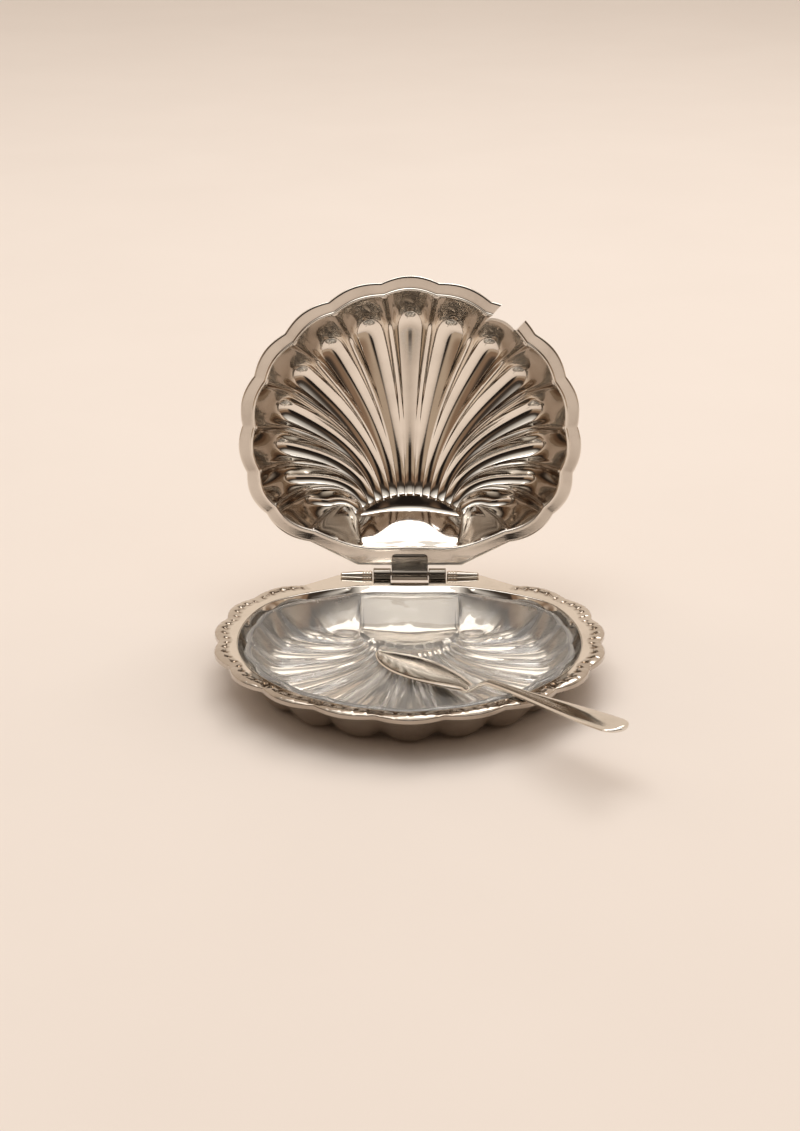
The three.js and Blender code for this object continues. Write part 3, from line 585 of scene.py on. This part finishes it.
base_form = dict(
    edge=BASE_OPENING, front_extra=BASE_FRONT_EXTRA, wave=0, rim_depth=0, easing=3,
    pad_reach=43, pad_side=27, pad_half=18, pad_depth=RIB_DEPTH - FLUTE_FLOOR - PAD_STEP,
    pad_profile=partial(creased, crease_at=0.52, levelling=0.94),
    pad_step=PAD_STEP, pad_step_share=0.05, pad_wave=0.1,
    # The value after wall_power is painted shade on the walls and beside the pad.
    wall_front=12, wall_side=10, wall_power=1.7, wall_tarnish=0.05,
    floor=lambda share: RIB_DEPTH - flute_height(share),
)
base_columns = Columns(per_flute=40, back_count=100)
base_edge = partial(base_columns.edge, BASE_FLANGE, BASE_LOBE, -BASE_BACK, BASE_BACK_HALF)
base_inside = Pressing(base_columns, base_form, pad_rows=rows_from(0.15, 6), fan_rows=rows_from(0.04, 24),
                       wall_rows=rows_from(0.08, 13))
base_outside = Pressing(base_columns, base_form, pad_rows=rows_from(0.3, 4), fan_rows=rows_from(0.06, 16),
                        wall_rows=rows_from(0.1, 10))


def base_rings():
    """From the hub up the inside, over the flange and its struck border, round the edge and back under."""
    c = base_columns
    border = (c.back == 0).astype(float)
    # Painted shade: the border and the edge darken towards the front.
    front_painted_shade = FRONT_PAINTED_SHADE * c.front
    yield from base_inside.rings()[:-1]
    opening = BASE_OPENING + BASE_FRONT_EXTRA * c.front
    for turn in np.linspace(0, pi / 2, 4):
        out, depth = OPENING_ROUND * (1 - cos(turn)), OPENING_ROUND * (1 - sin(turn))
        yield ring(c.level(opening + out, depth))
    inner, outer = c.level(opening + OPENING_ROUND, 0), base_edge(EDGE_ROUND, 0)
    width = np.linalg.norm(outer - inner, axis=1, keepdims=True)
    toward = (inner - outer) / width
    band = np.minimum(BORDER_BAND, BAND_LIMIT * width)
    for share in np.linspace(0.25, 1, 4)[:-1]:
        yield ring(lerp(inner, outer + toward * band, share), edge_distance=1)
    strokes = np.maximum(0, np.cos(tau * STROKES * c.flute)) ** 2
    for share in np.linspace(1, 0, 15):
        inset = EDGE_ROUND + share * (band[:, 0] - EDGE_ROUND)
        struck = strokes * smoothstep(inset, STROKE_FROM, STROKE_FULL) * STROKE_TARNISH
        points = outer + toward * (inset - EDGE_ROUND)[:, None]
        yield ring(points, edge_distance=inset * MM, border=border,
                   tarnish=border * (struck + BORDER_TARNISH + front_painted_shade))
    # Round the edge and under it, the darkening is painted shade.
    for turn in np.linspace(0, pi / 2, 5)[1:]:
        yield ring(base_edge(EDGE_ROUND * (1 - sin(turn)), EDGE_ROUND * (1 - cos(turn))),
                   border=border * cos(turn), tarnish=EDGE_PAINTED_SHADE + front_painted_shade)
    low = EDGE_ROLL / 2
    yield ring(base_edge(0, EDGE_DROP - low), tarnish=EDGE_PAINTED_SHADE + front_painted_shade)
    for turn in np.linspace(0, pi, 6):
        yield ring(base_edge(low * (1 - cos(turn)), EDGE_DROP - low + low * sin(turn)),
                   tarnish=ROLL_PAINTED_SHADE + front_painted_shade)
    yield ring(base_edge(EDGE_ROLL, BASE_SHEET), tarnish=ROLL_PAINTED_SHADE)
    under = c.level(opening + BASE_SHEET, BASE_SHEET)
    yield ring(lerp(base_edge(EDGE_ROLL, BASE_SHEET), under, 0.5), tarnish=EDGE_PAINTED_SHADE)
    yield ring(under, tarnish=EDGE_PAINTED_SHADE)
    # The underside is darkened all over with painted shade.
    for outer_ring in base_outside.rings(BASE_SHEET)[-2::-1]:
        yield {**outer_ring, "tarnish": UNDERSIDE_PAINTED_SHADE}


PRESS_FLUTES = flute_press()
LOW_FLUTES = dict(
    Height_at_pad=FLUTE_FLOOR * MM, Height_at_shoulder=FLUTE_SHOULDER * MM,
    Height_at_rim=FLUTE_RIM * MM, Growth=FLUTE_GROWTH, Ridge_softness=0.25,
    Roundness=1.0, Bead_width=0.45, Bead_share=0.25,
)
base_shell = shell_mesh("base_shell_fine", base_columns, base_inside.pole(), base_rings(),
                        base_outside.pole(BASE_SHEET), BASE_TURN, BASE_SHIFT)
run_tree(base_shell, PRESS_FLUTES, Finish=SILVER, **LOW_FLUTES)
run_tree(base_shell, border_strike(), Band=BORDER_BAND * MM, Crown=0.7 * MM, Stroke_depth=0.45 * MM,
         Strokes_per_lobe=STROKES, Stroke_sharpness=3.0, Finish=SILVER)
settle(base_shell)
# The ribs are flattened where they stand on the table.
spots = np.empty(len(base_shell.data.vertices) * 3)
base_shell.data.vertices.foreach_get("co", spots)
spots[2::3] = np.maximum(spots[2::3], 0)
base_shell.data.vertices.foreach_set("co", spots)

HINGE_RISE = 1.3
SEAT_GAP, SOLDER_GAP = 0.3, 0.3
LEAF_HALF, LEAF_REACH, LEAF_THICKNESS, LEAF_CLEARANCE = 7, 8, 0.8, 0.4
LEAF_KNUCKLE_RADIUS, KNUCKLE_GAP, KNUCKLE_LENGTH = 2.6, 0.3, 6.7
KNUCKLE_START = LEAF_HALF + KNUCKLE_GAP
KNUCKLE_END = KNUCKLE_START + KNUCKLE_LENGTH
SADDLE_DEPTH = 1
pocket_floor = RIM_HEIGHT + SEAT_GAP - SOLDER_GAP - LEAF_THICKNESS - LEAF_CLEARANCE
pocket_front = FOOT_REACH - LEAF_REACH - LEAF_CLEARANCE
slot_front = FOOT_REACH - LEAF_KNUCKLE_RADIUS - LEAF_CLEARANCE
slot_half, pocket_half = KNUCKLE_END + KNUCKLE_GAP, LEAF_HALF + LEAF_CLEARANCE
slot_back, slot_top = FOOT_REACH + BASE_BACK + BASE_SHEET, RIM_HEIGHT + BASE_SHEET
cut_with(base_shell, block("saddle", (-LEAF_HALF, pocket_front - BASE_SHEET, pocket_floor - SADDLE_DEPTH),
                           (LEAF_HALF, slot_front, RIM_HEIGHT - BASE_SHEET / 2)), "UNION")
cut_with(base_shell, block("slot", (-slot_half, slot_front, RIM_HEIGHT - EDGE_DROP - BASE_SHEET),
                           (slot_half, slot_back, slot_top)))
cut_with(base_shell, block("pocket", (-pocket_half, pocket_front, pocket_floor),
                           (pocket_half, slot_back, slot_top)))
settle(base_shell)
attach(base_shell, "base")
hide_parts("base_shell")


def tube(name, rows):
    """A closed mesh through rows of points in millimetres, each row once round, with flat ends."""
    count, sides = rows.shape[:2]
    ends = [range(sides), range((count - 1) * sides, count * sides)]
    mesh = bpy.data.meshes.new(name)
    mesh.from_pydata((rows.reshape(-1, 3) * MM).tolist(), [], row_faces(count, sides).tolist() + ends)
    with editing(mesh) as maker:
        bmesh.ops.recalc_face_normals(maker, faces=maker.faces)
    return add(name, mesh)


def turned_bar(name, profile, place, sides=40):
    """A bar along X turned to a profile of (distance along, radius) pairs, closed at both ends."""
    turns = np.linspace(0, tau, sides, endpoint=False)
    rows = [[(x, r * cos(a), r * sin(a)) for a in turns] for x, r in profile]
    return tube(name, np.array(rows) + place)


BOTH_SIDES = (-1, "left"), (1, "right")
BEAD_GAP, BEAD_RISE = 0.4, 0.85
BEAD_END = [(0, 1.2), (0.15, 1.5)]
BEAD_RINGS, FIRST_RING, RING_PITCH, RING_HALF = 3, 0.85, 1.1, 0.5
RING_NECK, RING_RISE = 1.32, 0.38
TAPER_START, TAPER_END, TAPER_THICK, TAPER_THIN = 3.8, 11.6, 1.6, 0.95
TIP_LENGTH, TIP_FROM, TIP_TO = 0.9, 0.2, 1.45


def bead_profile():
    """Three turned rings at the thick end, then a taper to a rounded tip."""
    profile = list(BEAD_END)
    for k in range(BEAD_RINGS):
        middle = FIRST_RING + RING_PITCH * k
        profile += [(middle + RING_HALF * cos(a), RING_NECK + RING_RISE * sin(a))
                    for a in np.linspace(pi, 0, 9)]
    profile += [(lerp(TAPER_START, TAPER_END, s), lerp(TAPER_THICK, TAPER_THIN, s))
                for s in np.linspace(0, 1, 8)]
    profile += [(TAPER_END + TIP_LENGTH * sin(a), TAPER_THIN * cos(a))
                for a in np.linspace(TIP_FROM, TIP_TO, 6)]
    return profile


for side, name in BOTH_SIDES:
    profile = [(side * (KNUCKLE_END + BEAD_GAP + x), r) for x, r in bead_profile()]
    bead = turned_bar("hinge_bead_" + name, profile, (0, FOOT_REACH, RIM_HEIGHT + BEAD_RISE))
    settle(bead, SILVER)
    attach(bead, "base")


# Hinge: two knuckles of nickel strip rolled round the pin, each with a web down through the slot and a tab
# soldered under the base's flange, and a plain pin of the same metal that also carries the lid's leaf.
NICKEL = plate_finish("hinge_metal", metal=(0.47, 0.43, 0.38), tarnish_colour=(0.07, 0.05, 0.035),
                      tarnish=0.3, polish=0.08, wear=0.05, hairlines=0.15)
PIN_RADIUS, PIN_CLEARANCE, PIN_EASE, KNUCKLE_RADIUS = 0.8, 0.3, 0.4, 2.2
BORE, DRILL_MARGIN = PIN_RADIUS + PIN_CLEARANCE, 1
TAB_THICKNESS, TAB_REACH, WEB_DROP = 0.8, 6.5, 1.65
hinge_place = (0, FOOT_REACH, RIM_HEIGHT + HINGE_RISE)
tab_top = hinge_place[2] - HINGE_RISE - BASE_SHEET - SOLDER_GAP
tab_low = tab_top - TAB_THICKNESS


def knuckle_profile(start, end, radius, ease=0.25):
    """Along the outside from one rounded end to the other."""
    turns = np.linspace(0, pi / 2, 5)
    rounded = [(ease * (1 - sin(a)), radius - ease * (1 - cos(a))) for a in turns]
    return [(start + x, r) for x, r in rounded[::-1]] + [(end - x, r) for x, r in rounded]


def drill(piece, low, high, place):
    """Bores the piece along X for the pin."""
    cut_with(piece, turned_bar("bore", [(low - DRILL_MARGIN, BORE), (high + DRILL_MARGIN, BORE)], place))


for side, name in BOTH_SIDES:
    low, high = sorted((side * KNUCKLE_START, side * KNUCKLE_END))
    knuckle = turned_bar("base_knuckle_" + name + "_fine", knuckle_profile(low, high, KNUCKLE_RADIUS),
                         hinge_place)
    cut_with(knuckle, block("web", (low, FOOT_REACH - TAB_THICKNESS, tab_low),
                            (high, FOOT_REACH + TAB_THICKNESS, hinge_place[2] - WEB_DROP)), "UNION")
    cut_with(knuckle, block("tab", (low, FOOT_REACH - TAB_REACH, tab_low),
                            (high, FOOT_REACH + TAB_THICKNESS, tab_top)), "UNION")
    drill(knuckle, low, high, hinge_place)
    settle(knuckle, NICKEL)
    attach(knuckle, "base")
    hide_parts("base_knuckle_" + name)

pin = turned_bar("hinge_pin_fine", knuckle_profile(-KNUCKLE_END, KNUCKLE_END, PIN_RADIUS, PIN_EASE),
                 hinge_place)
settle(pin, NICKEL)
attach(pin, "base")
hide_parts("hinge_pin")


# Lid shell: pressed from one thin plated sheet like the base. Its dome has the deepest flutes, fanning out
# from a smooth half-moon pad at the hinge; a raised lip locates it in the base, and its flange has a notch
# for the knife. It stands open on the hinge.
LID_SHEET = 0.8
LIP_HEIGHT, LIP_HALF, LIP_WAVE, LIP_OUT = 1, 0.6, 1.2, 0.5
LIP_FULLNESS, LIP_FOOT = 0.7, 0.3
LID_FLANGE, LID_LOBE, LID_BACK, LID_BACK_HALF = 4.6, 1.5, 3.7, 20
LID_PAD_DEPTH, LID_FAN_DEPTH, LID_SHOULDER_DEPTH = 13.9, 15.9, 16.4
LID_PAD_STEP, LID_CROWN = 1.2, 2.4
FLANGE_DROOP, FLANGE_TARNISH = 0.25, 0.2
LID_OPEN = radians(97)


def lid_floor(share):
    slope = lerp(LID_FAN_DEPTH, LID_SHOULDER_DEPTH, share)
    return slope + LID_CROWN * sin(pi * sqrt(share))


lid_form = dict(
    edge=LIP_OUT - LIP_HALF, front_extra=0, wave=LIP_WAVE, rim_depth=0, easing=8,
    pad_reach=28, pad_side=19.5, pad_half=20, pad_depth=LID_PAD_DEPTH,
    pad_profile=partial(creased, crease_at=0.72, levelling=1.1, start=0.82, bend=0.25),
    pad_step=LID_PAD_STEP, pad_step_share=0.04, pad_wave=0.3,
    # The value after wall_power is painted shade on the lid's steep walls and beside the pad.
    wall_front=14, wall_side=11, wall_power=1.4, wall_tarnish=0.75,
    floor=lid_floor,
)
lid_columns = Columns(per_flute=30, back_count=90)
lid_edge = partial(lid_columns.edge, LID_FLANGE, LID_LOBE, LID_BACK, LID_BACK_HALF)
step_rows = [0.005, 0.011, 0.017, 0.023]
lid_inside = Pressing(lid_columns, lid_form, pad_rows=rows_from(0.08, 16),
                      fan_rows=np.append(step_rows, rows_from(0.03, 48)), wall_rows=rows_from(0.05, 22))
lid_outside = Pressing(lid_columns, lid_form, pad_rows=rows_from(0.2, 6), fan_rows=rows_from(0.03, 36),
                       wall_rows=rows_from(0.07, 16))


def lid_rings():
    """From the hub up the inside, over the raised lip and the flange, round its edge and back outside."""
    c = lid_columns
    wave = LIP_OUT + LIP_WAVE * (c.lobe - 0.5) * c.press
    yield from lid_inside.rings()
    for turn in np.linspace(0, pi, 11)[1:]:
        rise = LIP_HEIGHT * sin(turn) ** LIP_FULLNESS
        yield ring(c.level(wave - LIP_HALF * cos(turn), -rise))
    foot = c.level(wave + LIP_HALF + LIP_FOOT, 0)
    half = LID_SHEET / 2
    for share in np.linspace(0, 1, 7):
        yield ring(lerp(foot, lid_edge(half, -FLANGE_DROOP), share), tarnish=FLANGE_TARNISH)
    for turn in np.linspace(0, pi, 7)[1:]:
        depth = half * (1 - cos(turn)) - FLANGE_DROOP
        yield ring(lid_edge(half * (1 - sin(turn)), depth))
    under = c.level(LID_SHEET + wave, LID_SHEET)
    yield ring(lerp(lid_edge(half, LID_SHEET - FLANGE_DROOP), under, 0.5))
    yield ring(under)
    yield from lid_outside.rings(LID_SHEET)[-2::-1]


KNIFE_LENGTH, KNIFE_TIP, KNIFE_TURN = 122.5, np.array([-12.3, 13]), radians(-48)
NOTCH_START, NOTCH_WIDTH, NOTCH_HEIGHT, NOTCH_SHIFT = 54, 10.6, 4, 2.6
turn_open = np.array(Matrix.Rotation(-LID_OPEN, 3, "X"))
swing_open = Matrix.Translation([h * MM for h in hinge_place]) @ Matrix.Rotation(-LID_OPEN, 4, "X")
flange_face = SEAT_GAP - HINGE_RISE
lid_turn = turn_open @ np.diag([1, -1, 1])
lid_shift = turn_open @ (0, 0, flange_face) + hinge_place
lid_shell = shell_mesh("lid_shell_fine", lid_columns, lid_inside.pole(), lid_rings(),
                       lid_outside.pole(LID_SHEET), lid_turn, lid_shift)
run_tree(lid_shell, PRESS_FLUTES, Height_at_pad=0.18 * MM, Height_at_shoulder=2.9 * MM,
         Height_at_rim=1.1 * MM, Growth=1.85, Ridge_softness=0.2, Roundness=0.7, Bead_width=0.5,
         Bead_share=0.3, Finish=SILVER)
notch = block("notch", (NOTCH_START, NOTCH_SHIFT - NOTCH_WIDTH / 2, flange_face - 2 * LIP_HEIGHT),
              (KNIFE_LENGTH, NOTCH_SHIFT + NOTCH_WIDTH / 2, flange_face + NOTCH_HEIGHT), KNIFE_TURN,
              (KNIFE_TIP[0], KNIFE_TIP[1] - FOOT_REACH, 0))
notch.data.transform(swing_open)
cut_with(lid_shell, notch)
settle(lid_shell)
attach(lid_shell, "lid")
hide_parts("lid_shell")


# Lid's hinge leaf: a nickel plate with two rounded corners, soldered to the lid's flange and rolled at its
# end into the wide middle knuckle.
LEAF_ROOT, LEAF_CORNER, LEAF_ROUND = 1.85, 1.6, 0.15
SAME_PLACE, SHARP = 1e-9, radians(60)
leaf = turned_bar("lid_hinge_leaf_fine", knuckle_profile(-LEAF_HALF, LEAF_HALF, LEAF_KNUCKLE_RADIUS),
                  (0, 0, 0))
leaf_top = flange_face - SOLDER_GAP
plate = block("leaf_plate", (-LEAF_HALF, -LEAF_REACH, leaf_top - LEAF_THICKNESS),
              (LEAF_HALF, -LEAF_ROOT, leaf_top))
with editing(plate.data) as maker:
    middle = -(LEAF_ROOT + LEAF_REACH) / 2 * MM
    far = [e for e in maker.edges if all(v.co.y < middle for v in e.verts)]
    corners = [e for e in far if abs(e.verts[0].co.x - e.verts[1].co.x) < SAME_PLACE]
    bmesh.ops.bevel(maker, geom=corners, offset=LEAF_CORNER * MM, segments=8, affect="EDGES", profile=0.5)
    rounds = [e for e in maker.edges if len(e.link_faces) == 2 and e.calc_face_angle() > SHARP]
    bmesh.ops.bevel(maker, geom=rounds, offset=LEAF_ROUND * MM, segments=3, affect="EDGES", profile=0.5)
cut_with(leaf, plate, "UNION")
drill(leaf, -LEAF_HALF, LEAF_HALF, (0, 0, 0))
settle(leaf, NICKEL)
leaf.data.transform(swing_open)
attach(leaf, "lid")
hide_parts("lid_hinge_leaf")


# Glass liner: a thick clear pressed-glass shell that stands loose in the base and holds the butter. Its
# flutes follow the base's under it and are shallower inside; its rim is fire-polished round.
REAM_SCALE, REAM_STRENGTH, REAM_DEPTH = 55.0, 0.5, 1 * MM
SMEAR_SCALE, SMEAR_FROM, SMEAR_TO = 320.0, 0.4, 0.75
CLEAR_ROUGHNESS, SMEARED_ROUGHNESS, WALL_ROUGHNESS = 0.01, 0.1, 0.2
GLASS, glass_tree, glass_shader = new_finish("clear_glass", {
    "Base Color": (0.97, 0.955, 0.93, 1), "IOR": 1.5, "Transmission Weight": 0.87})
glass_place = own_place(glass_tree)
ream = noise(glass_tree, glass_place, REAM_SCALE, 2.0)
smear = ramp(glass_tree, noise(glass_tree, glass_place, SMEAR_SCALE, 4.0), SMEAR_FROM, SMEAR_TO,
             CLEAR_ROUGHNESS, SMEARED_ROUGHNESS, kind="LINEAR")
glass_wall = wire(glass_tree, "ShaderNodeAttribute", attribute_name="wall").outputs["Fac"]
glass_rough = reckon(glass_tree, "MULTIPLY_ADD", glass_wall, WALL_ROUGHNESS, smear)
glass_bump = wire(glass_tree, "ShaderNodeBump", {"Height": ream, "Strength": REAM_STRENGTH,
                                                 "Distance": REAM_DEPTH}).outputs[0]
give(glass_tree, glass_shader, {"Roughness": glass_rough, "Normal": glass_bump})

LINER_GAP, LINER_INSET, LINER_DROP = 0.7, 2.6, 1.05
LINER_EDGE = BASE_OPENING - LINER_INSET
GLASS_RIM, GLASS_FLOOR, GLASS_FLUTE_SHARE, GLASS_WAVE, RIM_MARK = 2.4, 4.6, 0.7, 0.8, 0.2
GLASS_DEPTH = RIB_DEPTH - LINER_GAP
under_form = dict(
    base_form, edge=LINER_EDGE, wave=GLASS_WAVE, rim_depth=LINER_DROP + GLASS_RIM / 4,
    wall_front=13.2, wall_side=11.2, pad_half=18.8,
    pad_depth=GLASS_DEPTH - FLUTE_FLOOR - PAD_STEP,
    floor=lambda share: GLASS_DEPTH - flute_height(share),
)
inside_form = dict(
    under_form, edge=LINER_EDGE - GLASS_RIM,
    pad_depth=GLASS_DEPTH - GLASS_FLOOR - GLASS_FLUTE_SHARE * FLUTE_FLOOR - PAD_STEP,
    floor=lambda share: GLASS_DEPTH - GLASS_FLOOR - GLASS_FLUTE_SHARE * flute_height(share),
)
glass_columns = Columns(per_flute=24, back_count=90)
glass_rows = rows_from(0.2, 8), rows_from(0.04, 30), rows_from(0.06, 18)
glass_inside = Pressing(glass_columns, inside_form, *glass_rows)
glass_under = Pressing(glass_columns, under_form, *glass_rows)


def glass_rings():
    """From the hub up the inside, round the rim and back under."""
    c = glass_columns
    for inner_ring in glass_inside.rings():
        share = lerp(GLASS_FLUTE_SHARE, 1, inner_ring["wall"])
        yield {**inner_ring, "press": inner_ring["press"] * share}
    middle = LINER_EDGE - GLASS_RIM / 2 + BASE_FRONT_EXTRA * c.front + GLASS_WAVE * (c.lobe - 0.5) * c.press
    for turn in np.linspace(0, pi, 11)[1:-1]:
        depth = LINER_DROP + GLASS_RIM / 4 * (1 - sin(turn))
        yield ring(c.level(middle - GLASS_RIM / 2 * cos(turn), depth), wall=RIM_MARK)
    yield from glass_under.rings()[::-1]


liner = shell_mesh("glass_liner_fine", glass_columns, glass_inside.pole(), glass_rings(), glass_under.pole(),
                   BASE_TURN, BASE_SHIFT)
run_tree(liner, PRESS_FLUTES, Finish=GLASS, **LOW_FLUTES)
settle(liner)
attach(liner, "liner")
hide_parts("glass_liner")


# Butter knife: a plated spreader struck from thick strip, with a leaf blade, a step up to a slim neck over
# the rim and a handle that widens to a round end. It lies loose in the liner.
KNIFE_PLATE = plate_finish("knife_plate", metal=(0.84, 0.80, 0.74), tarnish_colour=BROWN_TARNISH_AND_SHADE,
                           tarnish=0.06, polish=0.06, wear=0.05, hairlines=0.03)
BLADE_LENGTH, BLADE_FAR_LENGTH, CREST_AT, REST_AT = 48, 55, 60, 74
BLADE_NEAR_WIDTH, BLADE_FAR_WIDTH, BLADE_TIP = 7.6, 9.6, 0.6
BLADE_SKEW, BLADE_ROUNDNESS, CROWN_SHARE = 0.85, 0.75, 0.7
NECK_FROM, HANDLE_FROM, HANDLE_TO = 0.5, 0.2, 0.9
BLADE_LIFT, BLADE_RISE, REST_HEIGHT, HANDLE_RISE = 1.0, 2.6, 18.5, 4.8
NECK_HALF, HANDLE_HALF, HANDLE_END_AT = 2.2, 5.75, 0.97
BLADE_THICK, NECK_THICK, HANDLE_THICK = 1.2, 2.2, 2.0
BLADE_FULLNESS, HANDLE_FULLNESS, BLADE_CROWN = 0.95, 0.75, 1.9
END_ROUND, END_LEAST, EVEN_STEPS = 1.1, 0.08, 0.6
GLASS_RIDGE = RIM_HEIGHT - GLASS_DEPTH + GLASS_FLOOR + 2 * GLASS_FLUTE_SHARE * FLUTE_FLOOR
KNIFE_STEPS, KNIFE_SIDES = 170, 32


def knife_height(along):
    blade = GLASS_RIDGE + BLADE_LIFT + BLADE_RISE * along / BLADE_LENGTH
    shaft = REST_HEIGHT + HANDLE_RISE * (along - REST_AT) / (KNIFE_LENGTH - REST_AT)
    return lerp(blade, shaft, smoothstep(along, BLADE_LENGTH, CREST_AT))


def knife_half_width(along, blade_length, blade_width):
    share = np.clip(along / blade_length, 0, 1)
    leaf = blade_width * np.sin(pi * share**BLADE_SKEW) ** BLADE_ROUNDNESS
    leaf = np.hypot(leaf, NECK_HALF * smoothstep(share, NECK_FROM, 1))
    share = (along - blade_length) / (KNIFE_LENGTH - blade_length)
    past = np.clip(1 - (KNIFE_LENGTH - along) / HANDLE_HALF, 0, HANDLE_END_AT)
    handle = lerp(NECK_HALF, HANDLE_HALF, smoothstep(share, HANDLE_FROM, HANDLE_TO)) * np.sqrt(1 - past**2)
    return np.where(along < blade_length, np.maximum(BLADE_TIP, leaf), handle)


def knife_half_thickness(along):
    blade = lerp(BLADE_THICK, NECK_THICK, smoothstep(along, BLADE_LENGTH / 2, CREST_AT))
    return lerp(blade, HANDLE_THICK, smoothstep(along, REST_AT, KNIFE_LENGTH)) / 2


def knife_points():
    """Rows of points round the knife, from its tip along X, with the blade's top side crowned."""
    along = KNIFE_LENGTH * (1 - np.cos(np.linspace(0, pi, KNIFE_STEPS))) / 2
    along = lerp(along, np.linspace(0, KNIFE_LENGTH, KNIFE_STEPS), EVEN_STEPS)[:, None]
    turn = np.linspace(0, tau, KNIFE_SIDES, endpoint=False)[None, :]
    far = knife_half_width(along, BLADE_FAR_LENGTH, BLADE_FAR_WIDTH)
    near = knife_half_width(along, BLADE_LENGTH, BLADE_NEAR_WIDTH)
    wide = np.where(np.cos(turn) > 0, far, near) * np.cos(turn)
    from_end = np.clip(np.minimum(along, KNIFE_LENGTH - along) / END_ROUND, END_LEAST, 1)
    thick = knife_half_thickness(along) * np.sqrt(1 - (1 - from_end) ** 2)
    fullness = lerp(BLADE_FULLNESS, HANDLE_FULLNESS, smoothstep(along, BLADE_LENGTH, CREST_AT))
    crown = lerp(BLADE_CROWN, 1, smoothstep(along, CROWN_SHARE * BLADE_LENGTH, CREST_AT))
    thick = np.where(np.sin(turn) > 0, crown, 1) * thick
    high = thick * np.sign(np.sin(turn)) * np.abs(np.sin(turn)) ** fullness
    return np.stack([np.broadcast_to(along, wide.shape), wide, knife_height(along) + high], axis=-1)


knife = tube("butter_knife_fine", knife_points())
knife.data.transform(Matrix.Translation((*KNIFE_TIP * MM, 0)) @ Matrix.Rotation(KNIFE_TURN, 4, "Z"))
settle(knife, KNIFE_PLATE)
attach(knife, "knife")
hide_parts("butter_knife")


# Table: a long, plain, pale, matt sheet that the dish stands on. It isn't fixed to anything, and it reaches
# past the view in front and behind.
TABLE_HALF_WIDTH, TABLE_HALF_LENGTH, MOTTLE_SCALE = 1.6, 3, 9.0
TABLE_DARKER, TABLE_LIGHTER = (0.81, 0.735, 0.675, 1), (0.85, 0.775, 0.715, 1)
TABLE, table_tree, table_shader = new_finish("table_sheet", {"Roughness": 0.75, "Specular IOR Level": 0.2})
mottle = noise(table_tree, own_place(table_tree), MOTTLE_SCALE, 4.0)
give(table_tree, table_shader, {"Base Color": blend(table_tree, mottle, TABLE_DARKER, TABLE_LIGHTER)})
table_mesh = bpy.data.meshes.new("table")
with editing(table_mesh) as maker:
    bmesh.ops.create_grid(maker, x_segments=8, y_segments=24, size=1,
                          matrix=Matrix.Diagonal((TABLE_HALF_WIDTH, TABLE_HALF_LENGTH, 1, 1)))
table_mesh.materials.append(TABLE)
table = add("table", table_mesh)


# Light: a wide soft box overhead, a little behind the dish and to its left, and a smaller one high behind it
# on the right. The room is dark straight in front, brown to the front's sides and paler low down there, dark
# again higher up, bright at the ceiling and pale behind the dish.
def soft_box(name, place, target, width, height, watts, colour):
    lamp = bpy.data.lights.new(name, "AREA")
    lamp.shape = "RECTANGLE"
    lamp.size, lamp.size_y = width, height
    lamp.energy = watts
    lamp.color = colour
    made = add(name, lamp)
    made.location = place
    made.rotation_euler = (Vector(target) - Vector(place)).to_track_quat("-Z", "Y").to_euler()


soft_box("overhead", place=(-0.1, 0.2, 1.85), target=(0, 0, 0), width=1.7, height=1.35, watts=13.3,
         colour=(1, 1, 1))
soft_box("key", place=(0.45, 0.95, 1.4), target=(0, -0.05, 0.02), width=0.7, height=0.7, watts=4.8,
         colour=(1, 0.99, 0.98))

FRONT_DARK = (0.015, 0.011, 0.009, 1)
SIDE_PALE, SIDE_BROWN = (0.46, 0.35, 0.255, 1), (0.24, 0.15, 0.095, 1)
SEEN_ROOM = (0.72, 0.58, 0.48, 1)
ROOM_BANDS = (
    ("Z", 0.0, -0.03, (0.55, 0.47, 0.4, 1)),    # below the table
    ("Z", 0.3, 0.42, (0.05, 0.037, 0.028, 1)),  # the upper walls
    ("Z", 0.5, 0.8, (0.66, 0.62, 0.57, 1)),     # the ceiling's edge
    ("Z", 0.76, 0.86, (1.0, 0.95, 0.89, 1)),    # the ceiling
    ("Y", -0.1, 0.35, (0.8, 0.67, 0.55, 1)),    # all that is behind the dish
)
world = bpy.data.worlds.new("room")
bpy.context.scene.world = world
world.use_nodes = True
room = world.node_tree
direction = room.nodes.new("ShaderNodeTexCoord").outputs["Generated"]
look = wire(room, "ShaderNodeSeparateXYZ", {0: direction}).outputs
beside = ramp(room, reckon(room, "ABSOLUTE", look["X"]), 0.12, 0.35)
low_wall = blend(room, beside, FRONT_DARK, SIDE_PALE)
middle_wall = blend(room, beside, FRONT_DARK, SIDE_BROWN)
around = blend(room, ramp(room, look["Z"], 0.1, 0.2), low_wall, middle_wall)
for axis, start, end, colour in ROOM_BANDS:
    around = blend(room, ramp(room, look[axis], start, end), around, colour)
seen = room.nodes.new("ShaderNodeLightPath").outputs["Is Camera Ray"]
give(room, room.nodes["Background"], {"Color": blend(room, seen, around, SEEN_ROOM), "Strength": 1.0})


# View: like the photograph's, but from straight in front, and a little above the open dish.
SENSOR, FOCAL_PIXELS, PHOTO_PIXELS = 36, 2085, 1131
VIEW_PLACE, VIEW_TILT, VIEW_TURN = (0, -0.68023, 0.33396), radians(67.184), radians(0.2885)
camera = add("view", bpy.data.cameras.new("view"))
camera.data.sensor_fit = "VERTICAL"
camera.data.sensor_height = SENSOR
camera.data.lens = SENSOR * FOCAL_PIXELS / PHOTO_PIXELS
camera.data.clip_start = 0.01
camera.location = VIEW_PLACE
camera.rotation_euler = VIEW_TILT, 0, VIEW_TURN
bpy.context.scene.camera = camera
bpy.context.scene.view_settings.view_transform = "Standard"
